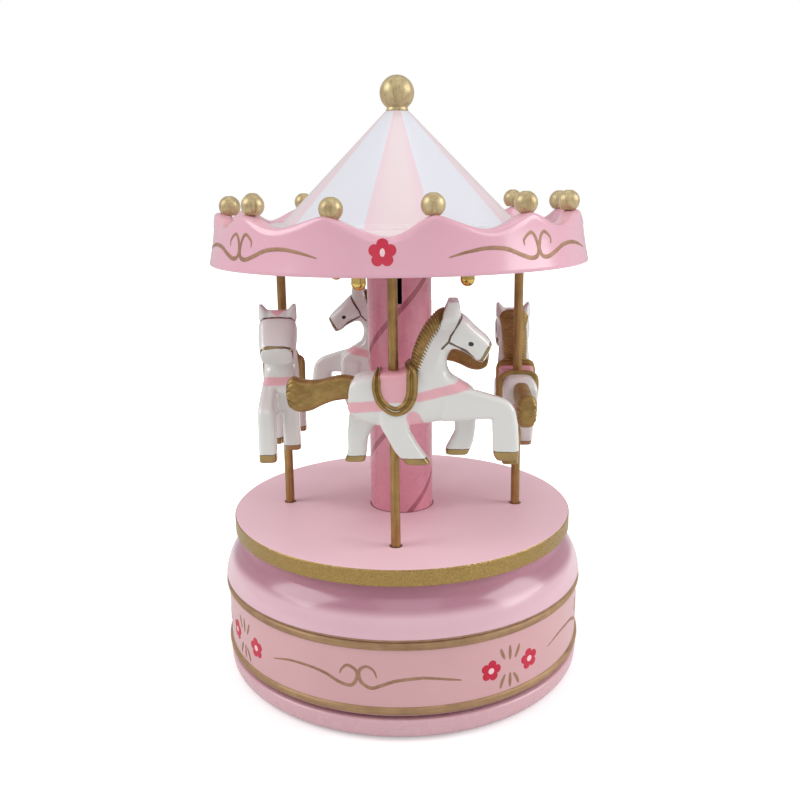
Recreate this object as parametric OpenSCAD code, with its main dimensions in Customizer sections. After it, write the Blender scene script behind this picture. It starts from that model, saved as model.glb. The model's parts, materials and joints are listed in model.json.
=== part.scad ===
// Wind-up carousel music box.
// The roof, the column and the platform turn as one and carry four horses that rise and fall.
// The spring movement in the base is wound by turning the bottom cover against the shell.
// Millimetres, +Z up. The origin is on the turning axis, at the table.

/* [Winding base] */
// How far the winding base stands out beyond the base wall
winder_out = 0.5; // [-1:0.1:1.5]
// Height of the winding base
winder_h = 6.3; // [5:0.1:9]
// Rounding of its lower edge
winder_round = 3; // [1:0.1:4]
// Height that the felt ring stands proud of the winding base
felt_proud = 0.3; // [0.2:0.1:0.5]
// Thickness of the felt ring
felt_t = 1; // [0.8:0.1:1.6]
// Outer radius of the felt ring
felt_r = 46; // [42:0.5:47]
// Width of the felt ring
felt_w = 14; // [6:0.5:18]
// Height of the gap between the winding base and the shell
groove_h = 0.9; // [0.6:0.1:2]

/* [Base shell] */
// Radius of the base wall between the two beads
waist_r = 52.7; // [52:0.1:56]
// Thickness of the base wall
shell_t = 2.4; // [1.6:0.1:3]
// Height from the lower edge of the shell to the upper bead
waist_h = 19.9; // [19:0.1:26]
// How far the beads stand out from the wall
bead_out = 0.7; // [0.3:0.1:1]
// Radius of the round of each bead
bead_round = 1.3; // [1.1:0.1:2]
// Height of the lower bead above the lower edge of the shell
bead_rise = 1.6; // [1.5:0.1:4]
// Height of the shoulder above the upper bead
shoulder_h = 14; // [13:0.1:17]
// Radius at the top of the shoulder
shoulder_top_r = 40.9; // [40.4:0.1:43]
// Radius of the well below the platform
well_r = 39.8; // [38:0.1:40]
// Depth from the underside of the platform to the deck
well_depth = 9.1; // [9:0.1:11]
// Thickness of the deck over the movement
deck_t = 2.2; // [1.6:0.1:3]
// Thickness of the bottom plate
plate_t = 2; // [1.6:0.1:3]

/* [Turntable] */
// Radius of the platform
turntable_r = 50; // [46:0.5:53]
// Thickness of the platform
turntable_t = 4.7; // [4:0.1:7]
// Gap between the shoulder and the platform
turntable_gap = 0.9; // [0.5:0.1:2]
// Radius of the column
column_r = 9.3; // [8.8:0.1:11]
// Wall of the column
column_t = 1.7; // [1.2:0.1:2]
// Depth of the column's seat in the platform
column_seat = 2; // [1:0.1:3]
// Radius of the fixed centre post
post_r = 2.5; // [2:0.1:2.8]
// Running clearance of round fits
running_gap = 0.05; // [0.02:0.01:0.09]

/* [Roof] */
// Height of the roof's lower edge above the platform
roof_rise = 73; // [71:0.5:85]
// Radius of the roof at its lower edge
canopy_r = 53.1; // [51:0.1:56]
// Radius of the rim at the top of its waves
rim_top_r = 50.6; // [50:0.1:52]
// Height of the rim to the top of its waves
rim_h = 14; // [13.5:0.1:16]
// Depth of the waves in the rim
wave_depth = 3.3; // [1:0.1:3.6]
// Depth of the wave at the front, which is cut lowest
front_wave_depth = 4.8; // [1:0.1:4.9]
// Radius of each hollow in the rim
wave_r = 16; // [15:0.5:18]
// Number of waves and of rim balls
waves = 12; // [8:1:12]
// Azimuth of the first rim ball, from the front towards the right
wave_phase = 9.8; // [0:0.1:29]
// Thickness of the rim at its top
rim_t = 4.7; // [4:0.1:5]
// Radius at the foot of the cone
cone_base_r = 32.3; // [32:0.1:36]
// Radius at the top of the cone
cone_top_r = 3.3; // [3.2:0.1:5]
// Height of the cone
cone_h = 29.5; // [29:0.1:34]
// Wall of the roof
roof_t = 1.6; // [1.2:0.1:1.8]
// Radius of a rim ball
rim_ball_r = 2.9; // [2.3:0.1:3.2]
// Radius of the ball on the top
finial_r = 4.75; // [4:0.05:6]

/* [Horses and poles] */
// Radius of the circle that the poles stand on
pole_circle_r = 34.2; // [33.5:0.1:34.6]
// Radius of a pole
pole_r = 1.3; // [1:0.1:1.4]
// Azimuth of the front pole
pole_azimuth = -3; // [-20:0.5:20]
// Play of a pole in the holes of the platform
pole_play = 0.5; // [0.3:0.1:0.8]
// Rise and fall of each horse
stroke = 7; // [5:0.1:7]
// Height of the saddle above the platform at the lowest point
seat_low = 40.3; // [38:0.1:46]
// Thickness of a horse
horse_t = 10.4; // [9:0.1:11]
// Azimuth of the column slots from the poles
slot_shift = 0.5; // [-6:0.1:6]
// Lower end of the column slots above the platform
slot_rise = 61.5; // [50:0.5:66]

/* [Movement] */
// Module of the spur gears
gear_m = 0.6; // [0.55:0.01:0.62]
// Teeth of the great wheel on the spring barrel
great_teeth = 48; // [44:2:48]
// Teeth of the pinion that the great wheel drives
pinion_teeth = 12; // [12:2:16]
// Teeth of the transfer gear below the platform
transfer_teeth = 24; // [20:2:26]
// Radius of the spring barrel's drum
drum_r = 10.6; // [9:0.1:10.8]
// Height of the spring barrel's drum
drum_h = 10.3; // [10:0.1:11]
// Radius of the winding arbor
arbor_r = 2; // [1.6:0.1:2.2]
// Mean radius of the crown teeth
crown_r = 12.6; // [12.2:0.1:12.8]
// Radius of the music cylinder
cylinder_r = 6.2; // [5:0.1:6.4]
// Notes of the comb
notes = 18; // [12:1:18]
// Distance between the notes
note_pitch = 1.1; // [0.9:0.05:1.1]
// Height of a pin on the music cylinder
pin_h = 0.7; // [0.4:0.1:0.8]

/* [Hidden] */
$fn = 96;
eps = 0.01;
full_turn = 360;
quarter_turn = full_turn / 4;

// Clearances
slip = 0.1;             // between faces that turn past each other
seat_gap = 0.02;        // radial gap of fixed round fits
clear = 0.3;            // between pieces that move past each other
edge = 0.6;             // small chamfers

// Screws
head_h = 0.8;
head_k = 1.9;
slot_w = 0.4;
screw_r = 1;
counterbore_h = 1.6;
deck_screw_r = 1.2;
deck_screw_len = 7;

// Gears: stub involute teeth, sized in modules
pressure = 25;
tip_k = 0.8;
root_k = 1;
tooth_slack = 0.06;
gear_distance = gear_m * (great_teeth + pinion_teeth) / 2;
hub_teeth = great_teeth + pinion_teeth - transfer_teeth;
gear_t = 2.8;

// Heights of the base, from the table up
winder_z0 = felt_proud;
winder_z1 = winder_z0 + winder_h;
shell_z0 = winder_z1 + groove_h;
upper_bead_z = shell_z0 + waist_h;
shoulder_z1 = upper_bead_z + shoulder_h;
turntable_z0 = shoulder_z1 + turntable_gap;
turntable_z1 = turntable_z0 + turntable_t;
deck_z1 = turntable_z0 - well_depth;
deck_z0 = deck_z1 - deck_t;
plate_rise = 0.4;
plate_z0 = shell_z0 + plate_rise;
plate_z1 = plate_z0 + plate_t;
bed_t = 2;
bed_z1 = plate_z1 + bed_t;

// Widths of the base, and the screws of the shell
winder_r = waist_r + winder_out;
shell_in_r = waist_r - shell_t;
bead_mid_r = waist_r + bead_out - bead_round;
shoulder_w = waist_r + bead_out - shoulder_top_r;
lug_r = 3.2;
lug_inset = 3.5;
lug_circle = shell_in_r - lug_inset;
lug_h = 10;
lug_azimuths = [30, 150, 270];
deck_screw_circle = (well_r + shell_in_r) / 2;
deck_screw_azimuths = [45, 135, 225, 315];

// Winding arbor, slip ring and ratchet
slip_ring_r = 43;
slip_ring_w = 3;
socket_w = 6;
socket_h = 3;
arbor_z0 = winder_z1 - socket_h;
ratchet_z0 = bed_z1 + 2 * slip;
ratchet_t = 1.2;
ratchet_r = 5.4;
ratchet_teeth = 14;
ratchet_depth = 1;
click_pivot_y = -12.6;
click_w = 2.4;
click_pivot_r = 0.8;

// Spring barrel
barrel_gap = 0.4;
barrel_z0 = ratchet_z0 + ratchet_t + barrel_gap;
wheel_z0 = barrel_z0 + drum_h;
wheel_t = 2;
barrel_z1 = wheel_z0 + wheel_t;
arbor_over = 0.6;
arbor_z1 = barrel_z1 + arbor_over;
drum_wall = 0.8;
cover_t = 1;
spring_turns = 6;
spring_t = 0.4;
spring_in = arbor_r + clear;
spring_out = drum_r - drum_wall - spring_t - slip;

// Crown teeth, and the music cylinder that they turn
crown_teeth = great_teeth;
crown_m = 2 * crown_r / crown_teeth;
crown_w = 1;
crown_tooth_k = 0.65;
crown_tooth = crown_tooth_k * crown_m;
crown_gap = 0.15;
cylinder_teeth = 16;
cylinder_pitch_r = crown_m * cylinder_teeth / 2;
cylinder_z = wheel_z0 - crown_gap - cylinder_pitch_r - tip_k * crown_m;
crown_z0 = cylinder_z + cylinder_pitch_r - root_k * crown_m + crown_gap;
shaft_r = 0.9;
cylinder_pinion_x0 = crown_r - crown_w / 2 + slip;
great_gap = 0.4;
inner_bearing_x = great_teeth * gear_m / 2 + gear_m + great_gap;
bearing_t = 1.6;
bearing_half_w = 3;
bearing_over = 2.4;
cylinder_gap = 0.5;
gear_gap = 0.8;
cylinder_x0 = inner_bearing_x + bearing_t + cylinder_gap;
cylinder_len = notes * note_pitch;
cylinder_gear_x = cylinder_x0 + cylinder_len + gear_gap;
cylinder_gear_t = 1.6;
cylinder_gear_teeth = 40;
outer_bearing_x = cylinder_gear_x + cylinder_gear_t + gear_gap;

// Comb
comb_tip_y = -cylinder_r - pin_h - clear;
tooth_len = 8;
comb_back = 5;
comb_t = 1;
tooth_share = 0.7;
tooth_w = tooth_share * note_pitch;
comb_z0 = cylinder_z - comb_t / 2;
comb_screw_inset = 3;
comb_screw_xs = [cylinder_x0 + comb_screw_inset, cylinder_x0 + cylinder_len - comb_screw_inset];

// Governor
worm_r = 1.5;
worm_pivot_r = 0.5;
worm_x = cylinder_gear_x + cylinder_gear_t / 2;
worm_gap = 0.5;
worm_y = cylinder_r + worm_r + worm_gap;
governor_w = 5;
governor_over = 1.8;
governor_z1 = cylinder_z + cylinder_r + governor_over;
governor_t = 1.2;
governor_reach = 4;
governor_post_y = worm_y + governor_reach;
fan_r = 5;
fan_h = deck_z0 - head_h - governor_z1 - 3 * clear;

// Bedplate
bed_margin_left = 4;
bed_margin_right = 2.6;
bed_margin_comb = 0.6;
bed_x0 = -gear_distance - bed_margin_left;
bed_x1 = outer_bearing_x + bed_margin_right;
bed_y0 = comb_tip_y - tooth_len - comb_back - bed_margin_comb;
bed_y1 = 14;
screw_inset = 4;
far_screw_inset = 12;
movement_screw_places = [
    [bed_x0 + screw_inset, bed_y0 + screw_inset], [bed_x0 + screw_inset, bed_y1 - screw_inset],
    [bed_x1 - far_screw_inset, bed_y1 - screw_inset]
];

// Centre post, bush and transfer shaft
post_foot_r = 8.4;
post_foot_h = 1.9;
post_screw_circle = 5.8;
post_screw_azimuths = [0, 120, 240];
bush_r = 5;
bush_flange_r = 7.4;
bush_flange_h = 1;
bush_z0 = deck_z1 + post_foot_h + slip;
hub_gear_z0 = bush_z0 + bush_flange_h;
boss_r = 8.6;
transfer_r = 1.2;
transfer_over = 1.6;
transfer_z1 = hub_gear_z0 + gear_t + transfer_over;
pinion_over = 0.4;
column_in_r = column_r - column_t;
column_z0 = turntable_z1 - column_seat;

// Roof, from its lower edge up
roof_z0 = turntable_z1 + roof_rise;
rim_z1 = roof_z0 + rim_h;
arm_t = 1.5;
arm_w = 2;
arm_eye_r = pole_r + 1;
dish_t = 1.3;
dish_r = pole_circle_r + arm_eye_r + clear + edge + dish_t;
flange_z0 = roof_z0 + clear;
flange_z1 = flange_z0 + dish_t;
dish_z0 = flange_z0 - dish_t;
arm_low_z = dish_z0 + dish_t + clear;
gutter_z0 = arm_low_z + arm_t + stroke + clear;
gutter_z1 = gutter_z0 + roof_t;
cone_z1 = gutter_z1 + cone_h;
cone_slope = cone_h / (cone_base_r - cone_top_r);
cone_wall_h = roof_t * sqrt(1 + cone_slope * cone_slope);
apex_z = cone_z1 - cone_wall_h;
cap_flange_h = 1.2;
cap_plug_h = 4;
cap_z1 = cone_z1 - (column_r - cone_top_r) * cone_slope - cone_wall_h - clear;
column_z1 = cap_z1 - cap_flange_h;
stem_r = 1.5;
rim_inset = 7.4;
rebate_inset = 3.9;
rim_in_r = canopy_r - rim_inset;
rebate_r = canopy_r - rebate_inset;
gutter_r = rim_top_r - rim_t;
gutter_drop = 2.4;
gutter_low_z = gutter_z1 - gutter_drop;
eave_drop = 0.4;
eave_r = dish_r - dish_t - 0.6;
brim_r = eave_r + 2.6;
brim_under_r = dish_r - dish_t - 0.2;
brim_under_z = gutter_z0 - gutter_drop;
scallop_in = 2;
scallop_len = 12;
roof_screw_circle = rebate_r - head_k * screw_r - clear;
roof_screw_azimuths = [for (k = [0 : 3]) pole_azimuth + 45 + quarter_turn * k];
roof_screw_len = 4;
ball_inset = 0.35;
ball_circle_r = rim_top_r - rim_t / 2 - ball_inset;
ball_sink = 0.7;
peg_r = 0.8;
peg_len = 2.4;
drop_circle_r = 21.7;
drop_shift = -27;
drop_r = 2;
drop_len = 5.6;

// The cam's top is a wave with one long and two short swings to the turn, so each horse gallops
cam_inset = 2;
cam_r = column_in_r - cam_inset;
cam_h = 4;
cam_z0 = arm_low_z - cam_h;
cam_steps = 48;
cam_mean = 0.525;
cam_long = 0.34;
cam_long_azimuth = -51;
cam_short = 0.26;
post_over = 1.5;
post_z1 = cam_z0 + cam_h + stroke + post_over;

// The slots lie on the line of each lift arm, which runs from the pole past the slot's azimuth
slot_point = column_r * [sin(slot_shift), -cos(slot_shift)];
arm_turn = atan2(slot_point[0], slot_point[1] + pole_circle_r);
arm_tip_gap = 0.5;
slot_out = 6;
slot_in = 1;
arm_tip_r = cam_r + arm_tip_gap;
arm_len = pole_circle_r * cos(arm_turn) - sqrt(pow(arm_tip_r, 2) - pow(pole_circle_r * sin(arm_turn), 2));

// Lift of each horse above its lowest point, as shares of the stroke: front, right, back, left
lifts = [1, 0, 0.57, 0.53];
// Turn of each horse about its own pole, as it was glued
horse_turns = [0, 1.5, 0, 5.5];
leg_split = 0.5;
body_inset = 0.6;
mane_inset = 1.5;
tail_inset = 1.9;
ear_t = 2;
seat_proud = 0.2;
rim_proud = 0.6;
plate_step = 0.6;
pole_low_z = deck_z1 + 2 * clear;
horse_deep = 30;
horse_high = 10;

// Colours
shell_pink = [0.89, 0.72, 0.74];
gloss_pink = [0.88, 0.66, 0.72];
column_pink = [0.75, 0.47, 0.53];
horse_white = [0.92, 0.92, 0.9];
antique_gold = [0.6, 0.5, 0.3];
steel = [0.65, 0.66, 0.68];
brass = [0.78, 0.64, 0.33];
plywood = [0.74, 0.6, 0.42];
nylon = [0.9, 0.9, 0.86];
felt_grey = [0.3, 0.3, 0.32];
blued = [0.25, 0.28, 0.35];

// ---- shared shapes ----

function polar(r, a) = [r * cos(a), r * sin(a)];
// Azimuths are turned from the front, which is -Y, towards the right, which is +X
module at_azimuth(a, r) {
    rotate([0, 0, a]) translate([0, -r, 0]) children();
}
module tube(r1, r0, z0, z1) {
    translate([0, 0, z0]) difference() {
        cylinder(r = r1, h = z1 - z0);
        translate([0, 0, -eps]) cylinder(r = r0, h = z1 - z0 + 2 * eps);
    }
}
module hole(r, z0, z1) {
    translate([0, 0, z0 - eps]) cylinder(r = r, h = z1 - z0 + 2 * eps);
}
module block(lo, hi) {
    translate(lo) cube(hi - lo);
}
// A screw that enters upwards at z0, with its head below
module screw_up(r, z0, z1) {
    translate([0, 0, z0 - head_h]) difference() {
        cylinder(r = head_k * r, h = head_h);
        block([-slot_w / 2, -head_k * r - eps, -eps], [slot_w / 2, head_k * r + eps, head_h / 2]);
    }
    translate([0, 0, z0 - eps]) cylinder(r = r, h = z1 - z0);
}

// Involute spur teeth with stub tips
function involute(a) = tan(a) * 180 / PI - a;
function tooth_half(r, n, m) =
    let (pitch = n * m / 2, base = pitch * cos(pressure), a = r > base ? acos(base / r) : 0)
    90 / n - tooth_slack / pitch * 180 / PI + involute(pressure) - involute(a);
function flank_radii(n, m) =
    [for (k = [0 : 3]) n * m / 2 - root_k * m + (tip_k + root_k) * m * k / 3];
function gear_points(n, m) = [
    for (i = [0 : n - 1]) each concat(
        [for (r = flank_radii(n, m)) polar(r, full_turn * i / n - tooth_half(r, n, m))],
        [for (k = [3 : -1 : 0]) let (r = flank_radii(n, m)[k]) polar(r, full_turn * i / n + tooth_half(r, n, m))]
    )
];
module gear(n, m, t, bore) {
    difference() {
        linear_extrude(t) polygon(gear_points(n, m));
        hole(bore, 0, t);
    }
}

// ---- winding base and arbor ----

module winding_base() {
    round_points = [for (a = [-90 : 15 : 0])
        [winder_r - winder_round, winder_z0 + winder_round] + winder_round * [cos(a), sin(a)]];
    color(shell_pink) difference() {
        rotate_extrude() polygon(concat(
            [[0, winder_z0]], round_points,
            [[winder_r, winder_z1 - edge], [winder_r - edge, winder_z1], [0, winder_z1]]
        ));
        tube(felt_r + clear, felt_r - felt_w - clear, winder_z0 - 1, felt_t);
        block([-socket_w / 2, -socket_w / 2, arbor_z0], [socket_w / 2, socket_w / 2, winder_z1 + 1]);
        hole(screw_r, winder_z0, arbor_z0);
        hole(head_k * screw_r + slip, winder_z0, winder_z0 + counterbore_h);
    }
}
module felt_ring() {
    color(felt_grey) tube(felt_r, felt_r - felt_w, 0, felt_t);
}
module slip_ring() {
    color(nylon) tube(slip_ring_r, slip_ring_r - slip_ring_w, winder_z1, plate_z0 - slip);
}
module winding_arbor() {
    half = socket_w / 2 - seat_gap;
    color(steel) difference() {
        union() {
            translate([0, 0, arbor_z0]) cylinder(r = arbor_r, h = arbor_z1 - arbor_z0);
            block([-half, -half, arbor_z0], [half, half, winder_z1]);
        }
        hole(screw_r, arbor_z0, arbor_z0 + 1.2 * socket_h);
    }
}
module arbor_screw() {
    color(steel) translate([0, 0, winder_z0 + counterbore_h])
        screw_up(screw_r - seat_gap, 0, arbor_z0 + socket_h - winder_z0 - counterbore_h);
}
module ratchet_wheel() {
    step = 360 / ratchet_teeth;
    color(steel) translate([0, 0, ratchet_z0]) difference() {
        linear_extrude(ratchet_t) polygon([for (i = [0 : ratchet_teeth - 1]) each [
            polar(ratchet_r, i * step), polar(ratchet_r - ratchet_depth, i * step + 1)]]);
        hole(arbor_r + seat_gap, 0, ratchet_t);
    }
}

// ---- base shell, plates ----

// Half a bead, from its lower foot to its crest, or whole
function bead_points(z, a1) =
    let (a0 = acos((waist_r - bead_mid_r) / bead_round))
    [for (k = [0 : 4]) let (a = -a0 + (a1 * a0 + a0) * k / 4)
        [bead_mid_r + bead_round * cos(a), z + bead_round * sin(a)]];

module base_shell() {
    shoulder = [for (a = [6 : 6 : 84])
        [shoulder_top_r + shoulder_w * cos(a), upper_bead_z + shoulder_h * sin(a)]];
    color(shell_pink) difference() {
        union() {
            rotate_extrude() polygon(concat(
                [[shell_in_r, shell_z0], [waist_r, shell_z0]],
                bead_points(shell_z0 + bead_rise, 1),
                bead_points(upper_bead_z, 0),
                shoulder,
                [[shoulder_top_r, shoulder_z1], [well_r + edge / 2, shoulder_z1],
                 [well_r, shoulder_z1 - edge / 2], [well_r, deck_z1], [shell_in_r, deck_z1]]
            ));
            intersection() {
                for (a = lug_azimuths) at_azimuth(a, lug_circle)
                    translate([0, 0, plate_z1]) cylinder(r = lug_r, h = lug_h);
                hole(shell_in_r + shell_t / 2, plate_z1, plate_z1 + lug_h);
            }
            for (a = lug_azimuths) rotate([0, 0, a])
                block([-lug_r / 2, -shell_in_r - shell_t / 2, plate_z1],
                      [lug_r / 2, -lug_circle - lug_r / 2, plate_z1 + lug_h]);
        }
        for (a = lug_azimuths) at_azimuth(a, lug_circle) hole(deck_screw_r, plate_z1, plate_z1 + lug_h / 2);
        for (a = deck_screw_azimuths) at_azimuth(a, deck_screw_circle)
            hole(deck_screw_r, deck_z1, deck_z1 + deck_screw_len / 2);
    }
}
module bottom_plate() {
    color(plywood) difference() {
        tube(shell_in_r - clear, arbor_r + running_gap, plate_z0, plate_z1);
        for (a = lug_azimuths) at_azimuth(a, lug_circle) {
            hole(deck_screw_r, plate_z0, plate_z1);
            hole(head_k * deck_screw_r + slip, plate_z0, plate_z0 + head_h);
        }
        for (p = movement_screw_places) translate(p) {
            hole(screw_r, plate_z0, plate_z1);
            hole(head_k * screw_r + slip, plate_z0, plate_z0 + head_h);
        }
    }
}
module bottom_screws() {
    color(steel) for (a = lug_azimuths) at_azimuth(a, lug_circle)
        screw_up(deck_screw_r - seat_gap, plate_z0 + head_h, plate_z1 + lug_h / 2 - clear);
}
module deck() {
    color(plywood) difference() {
        translate([0, 0, deck_z0]) cylinder(r = shell_in_r - clear, h = deck_t);
        hole(post_r + seat_gap, deck_z0, deck_z1);
        translate([-gear_distance, 0, 0]) hole(transfer_r + running_gap, deck_z0, deck_z1);
        for (a = deck_screw_azimuths) at_azimuth(a, deck_screw_circle) hole(deck_screw_r, deck_z0, deck_z1);
        for (a = post_screw_azimuths) at_azimuth(a, post_screw_circle) hole(screw_r, deck_z0, deck_z1);
    }
}
module deck_screws() {
    color(steel) for (a = deck_screw_azimuths) at_azimuth(a, deck_screw_circle)
        screw_up(deck_screw_r - seat_gap, deck_z0, deck_z1 + deck_screw_len / 2 - clear);
}

// ---- centre post and lifting cam ----

module centre_post() {
    color(steel) difference() {
        union() {
            translate([0, 0, deck_z0]) cylinder(r = post_r, h = post_z1 - deck_z0);
            translate([0, 0, deck_z1]) cylinder(r = post_foot_r, h = post_foot_h);
        }
        for (a = post_screw_azimuths) at_azimuth(a, post_screw_circle)
            hole(screw_r, deck_z1, deck_z1 + post_foot_h - edge);
    }
}
module post_screws() {
    color(steel) for (a = post_screw_azimuths) at_azimuth(a, post_screw_circle)
        screw_up(screw_r - seat_gap, deck_z0, deck_z1 + post_foot_h - edge - slip);
}

// The cam's top is a wave with one long and two short swings to the turn, so each horse gallops
function cam_lift(a) =
    stroke * (cam_mean + cam_long * cos(a - cam_long_azimuth) + cam_short * cos(2 * a));
module lifting_cam() {
    ring = [for (i = [0 : cam_steps - 1]) let (a = full_turn * i / cam_steps)
        [cam_r * sin(a), -cam_r * cos(a)]];
    low = [for (p = ring) [p[0], p[1], 0]];
    high = [for (i = [0 : cam_steps - 1])
        [ring[i][0], ring[i][1], cam_h + cam_lift(full_turn * i / cam_steps)]];
    top = [[0, 0, cam_h + stroke * cam_mean]];
    n = cam_steps;
    color(nylon) rotate([0, 0, pole_azimuth]) translate([0, 0, cam_z0]) difference() {
        polyhedron(
            points = concat(low, high, top),
            faces = concat(
                [[for (i = [0 : n - 1]) i]],
                [for (i = [0 : n - 1]) [i, i + n, (i + 1) % n + n, (i + 1) % n]],
                [for (i = [0 : n - 1]) [i + n, 2 * n, (i + 1) % n + n]]
            )
        );
        hole(post_r + seat_gap, -1, cam_h + 2 * stroke);
    }
}

// ---- movement ----

module bedplate() {
    color(steel) difference() {
        block([bed_x0, bed_y0, plate_z1], [bed_x1, bed_y1, bed_z1]);
        hole(arbor_r + running_gap, plate_z1, bed_z1);
        translate([-gear_distance, 0, 0]) hole(transfer_r + running_gap, plate_z1, bed_z1);
        translate([worm_x, worm_y, 0]) hole(worm_pivot_r + running_gap, plate_z1, bed_z1);
        for (p = movement_screw_places) translate(p) hole(screw_r, plate_z1, bed_z1);
    }
}
module movement_screws() {
    color(steel) for (p = movement_screw_places) translate(p)
        screw_up(screw_r - seat_gap, plate_z0 + head_h, bed_z1);
}

module click_pivot() {
    color(steel) translate([0, click_pivot_y, bed_z1])
        cylinder(r = click_pivot_r, h = ratchet_z0 + ratchet_t - bed_z1);
}
module click() {
    tip_y = -ratchet_r - clear;
    color(steel) translate([0, 0, ratchet_z0]) difference() {
        linear_extrude(ratchet_t) union() {
            polygon([[-click_w / 2, click_pivot_y], [click_w / 2, click_pivot_y],
                     [click_w / 2, tip_y - 1.4], [0.4, tip_y], [-0.4, tip_y]]);
            translate([0, click_pivot_y]) circle(r = click_w * 0.75);
        }
        translate([0, click_pivot_y, 0]) hole(click_pivot_r + running_gap, 0, ratchet_t);
    }
}

module spring_barrel() {
    color(brass) union() {
        tube(drum_r, drum_r - drum_wall, barrel_z0, wheel_z0);
        translate([0, 0, wheel_z0]) gear(great_teeth, gear_m, wheel_t, arbor_r + running_gap);
        translate([0, 0, crown_z0]) difference() {
            linear_extrude(wheel_z0 - crown_z0) polygon([
                for (i = [0 : crown_teeth - 1]) each let (a = full_turn * i / crown_teeth,
                    inner = crown_r - crown_w / 2, outer = crown_r + crown_w / 2,
                    half_in = crown_tooth / 2 / inner * 180 / PI,
                    half_out = crown_tooth / 2 / outer * 180 / PI)
                    [polar(inner, a - half_in), polar(outer, a - half_out),
                     polar(outer, a + half_out), polar(inner, a + half_in)]
            ]);
            hole(drum_r - drum_wall / 2, 0, wheel_z0 - crown_z0);
        }
    }
}
module barrel_cover() {
    color(brass) tube(drum_r - drum_wall - seat_gap, arbor_r + running_gap, barrel_z0, barrel_z0 + cover_t);
}
// The mainspring is a flat spiral: each point's radius grows evenly with its angle
function spiral(offset) = [for (a = [0 : 15 : 360 * spring_turns])
    polar(spring_in + offset + (spring_out - spring_in) * a / (360 * spring_turns), a)];
function reversed(list) = [for (i = [len(list) - 1 : -1 : 0]) list[i]];
module mainspring() {
    color(blued) translate([0, 0, barrel_z0 + cover_t + slip])
        linear_extrude(drum_h - cover_t - 2 * slip)
            polygon(concat(spiral(0), reversed(spiral(spring_t))));
}

module transfer_shaft() {
    color(steel) translate([-gear_distance, 0, plate_z1])
        cylinder(r = transfer_r, h = transfer_z1 - plate_z1);
}
module drive_pinion() {
    color(brass) translate([-gear_distance, 0, wheel_z0 - pinion_over]) rotate([0, 0, 180 / pinion_teeth])
        gear(pinion_teeth, gear_m, wheel_t + 2 * pinion_over, transfer_r + seat_gap);
}
module transfer_gear() {
    color(nylon) translate([-gear_distance, 0, hub_gear_z0]) rotate([0, 0, 180 / transfer_teeth])
        gear(transfer_teeth, gear_m, gear_t, transfer_r + seat_gap);
}

module along_x(x, a = 0) {
    translate([x, 0, cylinder_z]) rotate([0, 90, 0]) rotate([0, 0, a]) children();
}
module music_cylinder() {
    color(brass) along_x(cylinder_x0) {
        difference() {
            union() {
                cylinder(r = cylinder_r, h = cylinder_len);
                for (i = [0 : notes - 1], k = [0 : 2])
                    translate([0, 0, (i + 0.5) * note_pitch]) rotate([0, 0, 137.5 * i + 120 * k + 31 * (i % 3)])
                        rotate([0, 90, 0]) cylinder(r = 0.22, h = cylinder_r + pin_h, $fn = 6);
            }
            hole(shaft_r + seat_gap, 0, cylinder_len);
        }
    }
}
module cylinder_shaft() {
    color(steel) along_x(cylinder_pinion_x0)
        cylinder(r = shaft_r, h = outer_bearing_x + bearing_t - cylinder_pinion_x0);
}
module cylinder_pinion() {
    color(brass) along_x(cylinder_pinion_x0, 180 / cylinder_teeth)
        gear(cylinder_teeth, crown_m, inner_bearing_x - 0.3 - cylinder_pinion_x0, shaft_r + seat_gap);
}
module cylinder_gear() {
    color(brass) along_x(cylinder_gear_x)
        gear(cylinder_gear_teeth, 2 * (cylinder_r - 0.2) / cylinder_gear_teeth, cylinder_gear_t, shaft_r + seat_gap);
}
module cylinder_bearings() {
    color(steel) for (x = [inner_bearing_x, outer_bearing_x]) difference() {
        block([x, -bearing_half_w, bed_z1], [x + bearing_t, bearing_half_w, cylinder_z + bearing_over]);
        along_x(x) hole(shaft_r + running_gap, 0, bearing_t);
    }
}

module comb() {
    back_y = comb_tip_y - tooth_len;
    color(steel) translate([0, 0, comb_z0]) difference() {
        linear_extrude(comb_t) polygon(concat(
            [for (i = [0 : notes - 1]) each let (x = cylinder_x0 + (i + 0.5) * note_pitch)
                [[x - tooth_w / 2, back_y], [x - tooth_w / 2, comb_tip_y],
                 [x + tooth_w / 2, comb_tip_y], [x + tooth_w / 2, back_y]]],
            [[cylinder_x0 + cylinder_len, back_y - comb_back], [cylinder_x0, back_y - comb_back]]
        ));
        for (x = comb_screw_xs) translate([x, back_y - comb_back / 2, 0]) hole(screw_r, 0, comb_t);
    }
}
module comb_block() {
    back_y = comb_tip_y - tooth_len;
    color(steel) difference() {
        block([cylinder_x0, back_y - comb_back, bed_z1], [cylinder_x0 + cylinder_len, back_y - edge, comb_z0]);
        for (x = comb_screw_xs) translate([x, back_y - comb_back / 2, 0]) hole(screw_r, bed_z1 + 1, comb_z0);
    }
}
module comb_screws() {
    color(steel) for (x = comb_screw_xs)
        translate([x, comb_tip_y - tooth_len - comb_back / 2, comb_z0 + comb_t]) rotate([180, 0, 0])
            screw_up(screw_r - seat_gap, 0, comb_t + comb_z0 - bed_z1 - 1 - clear);
}

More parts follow.
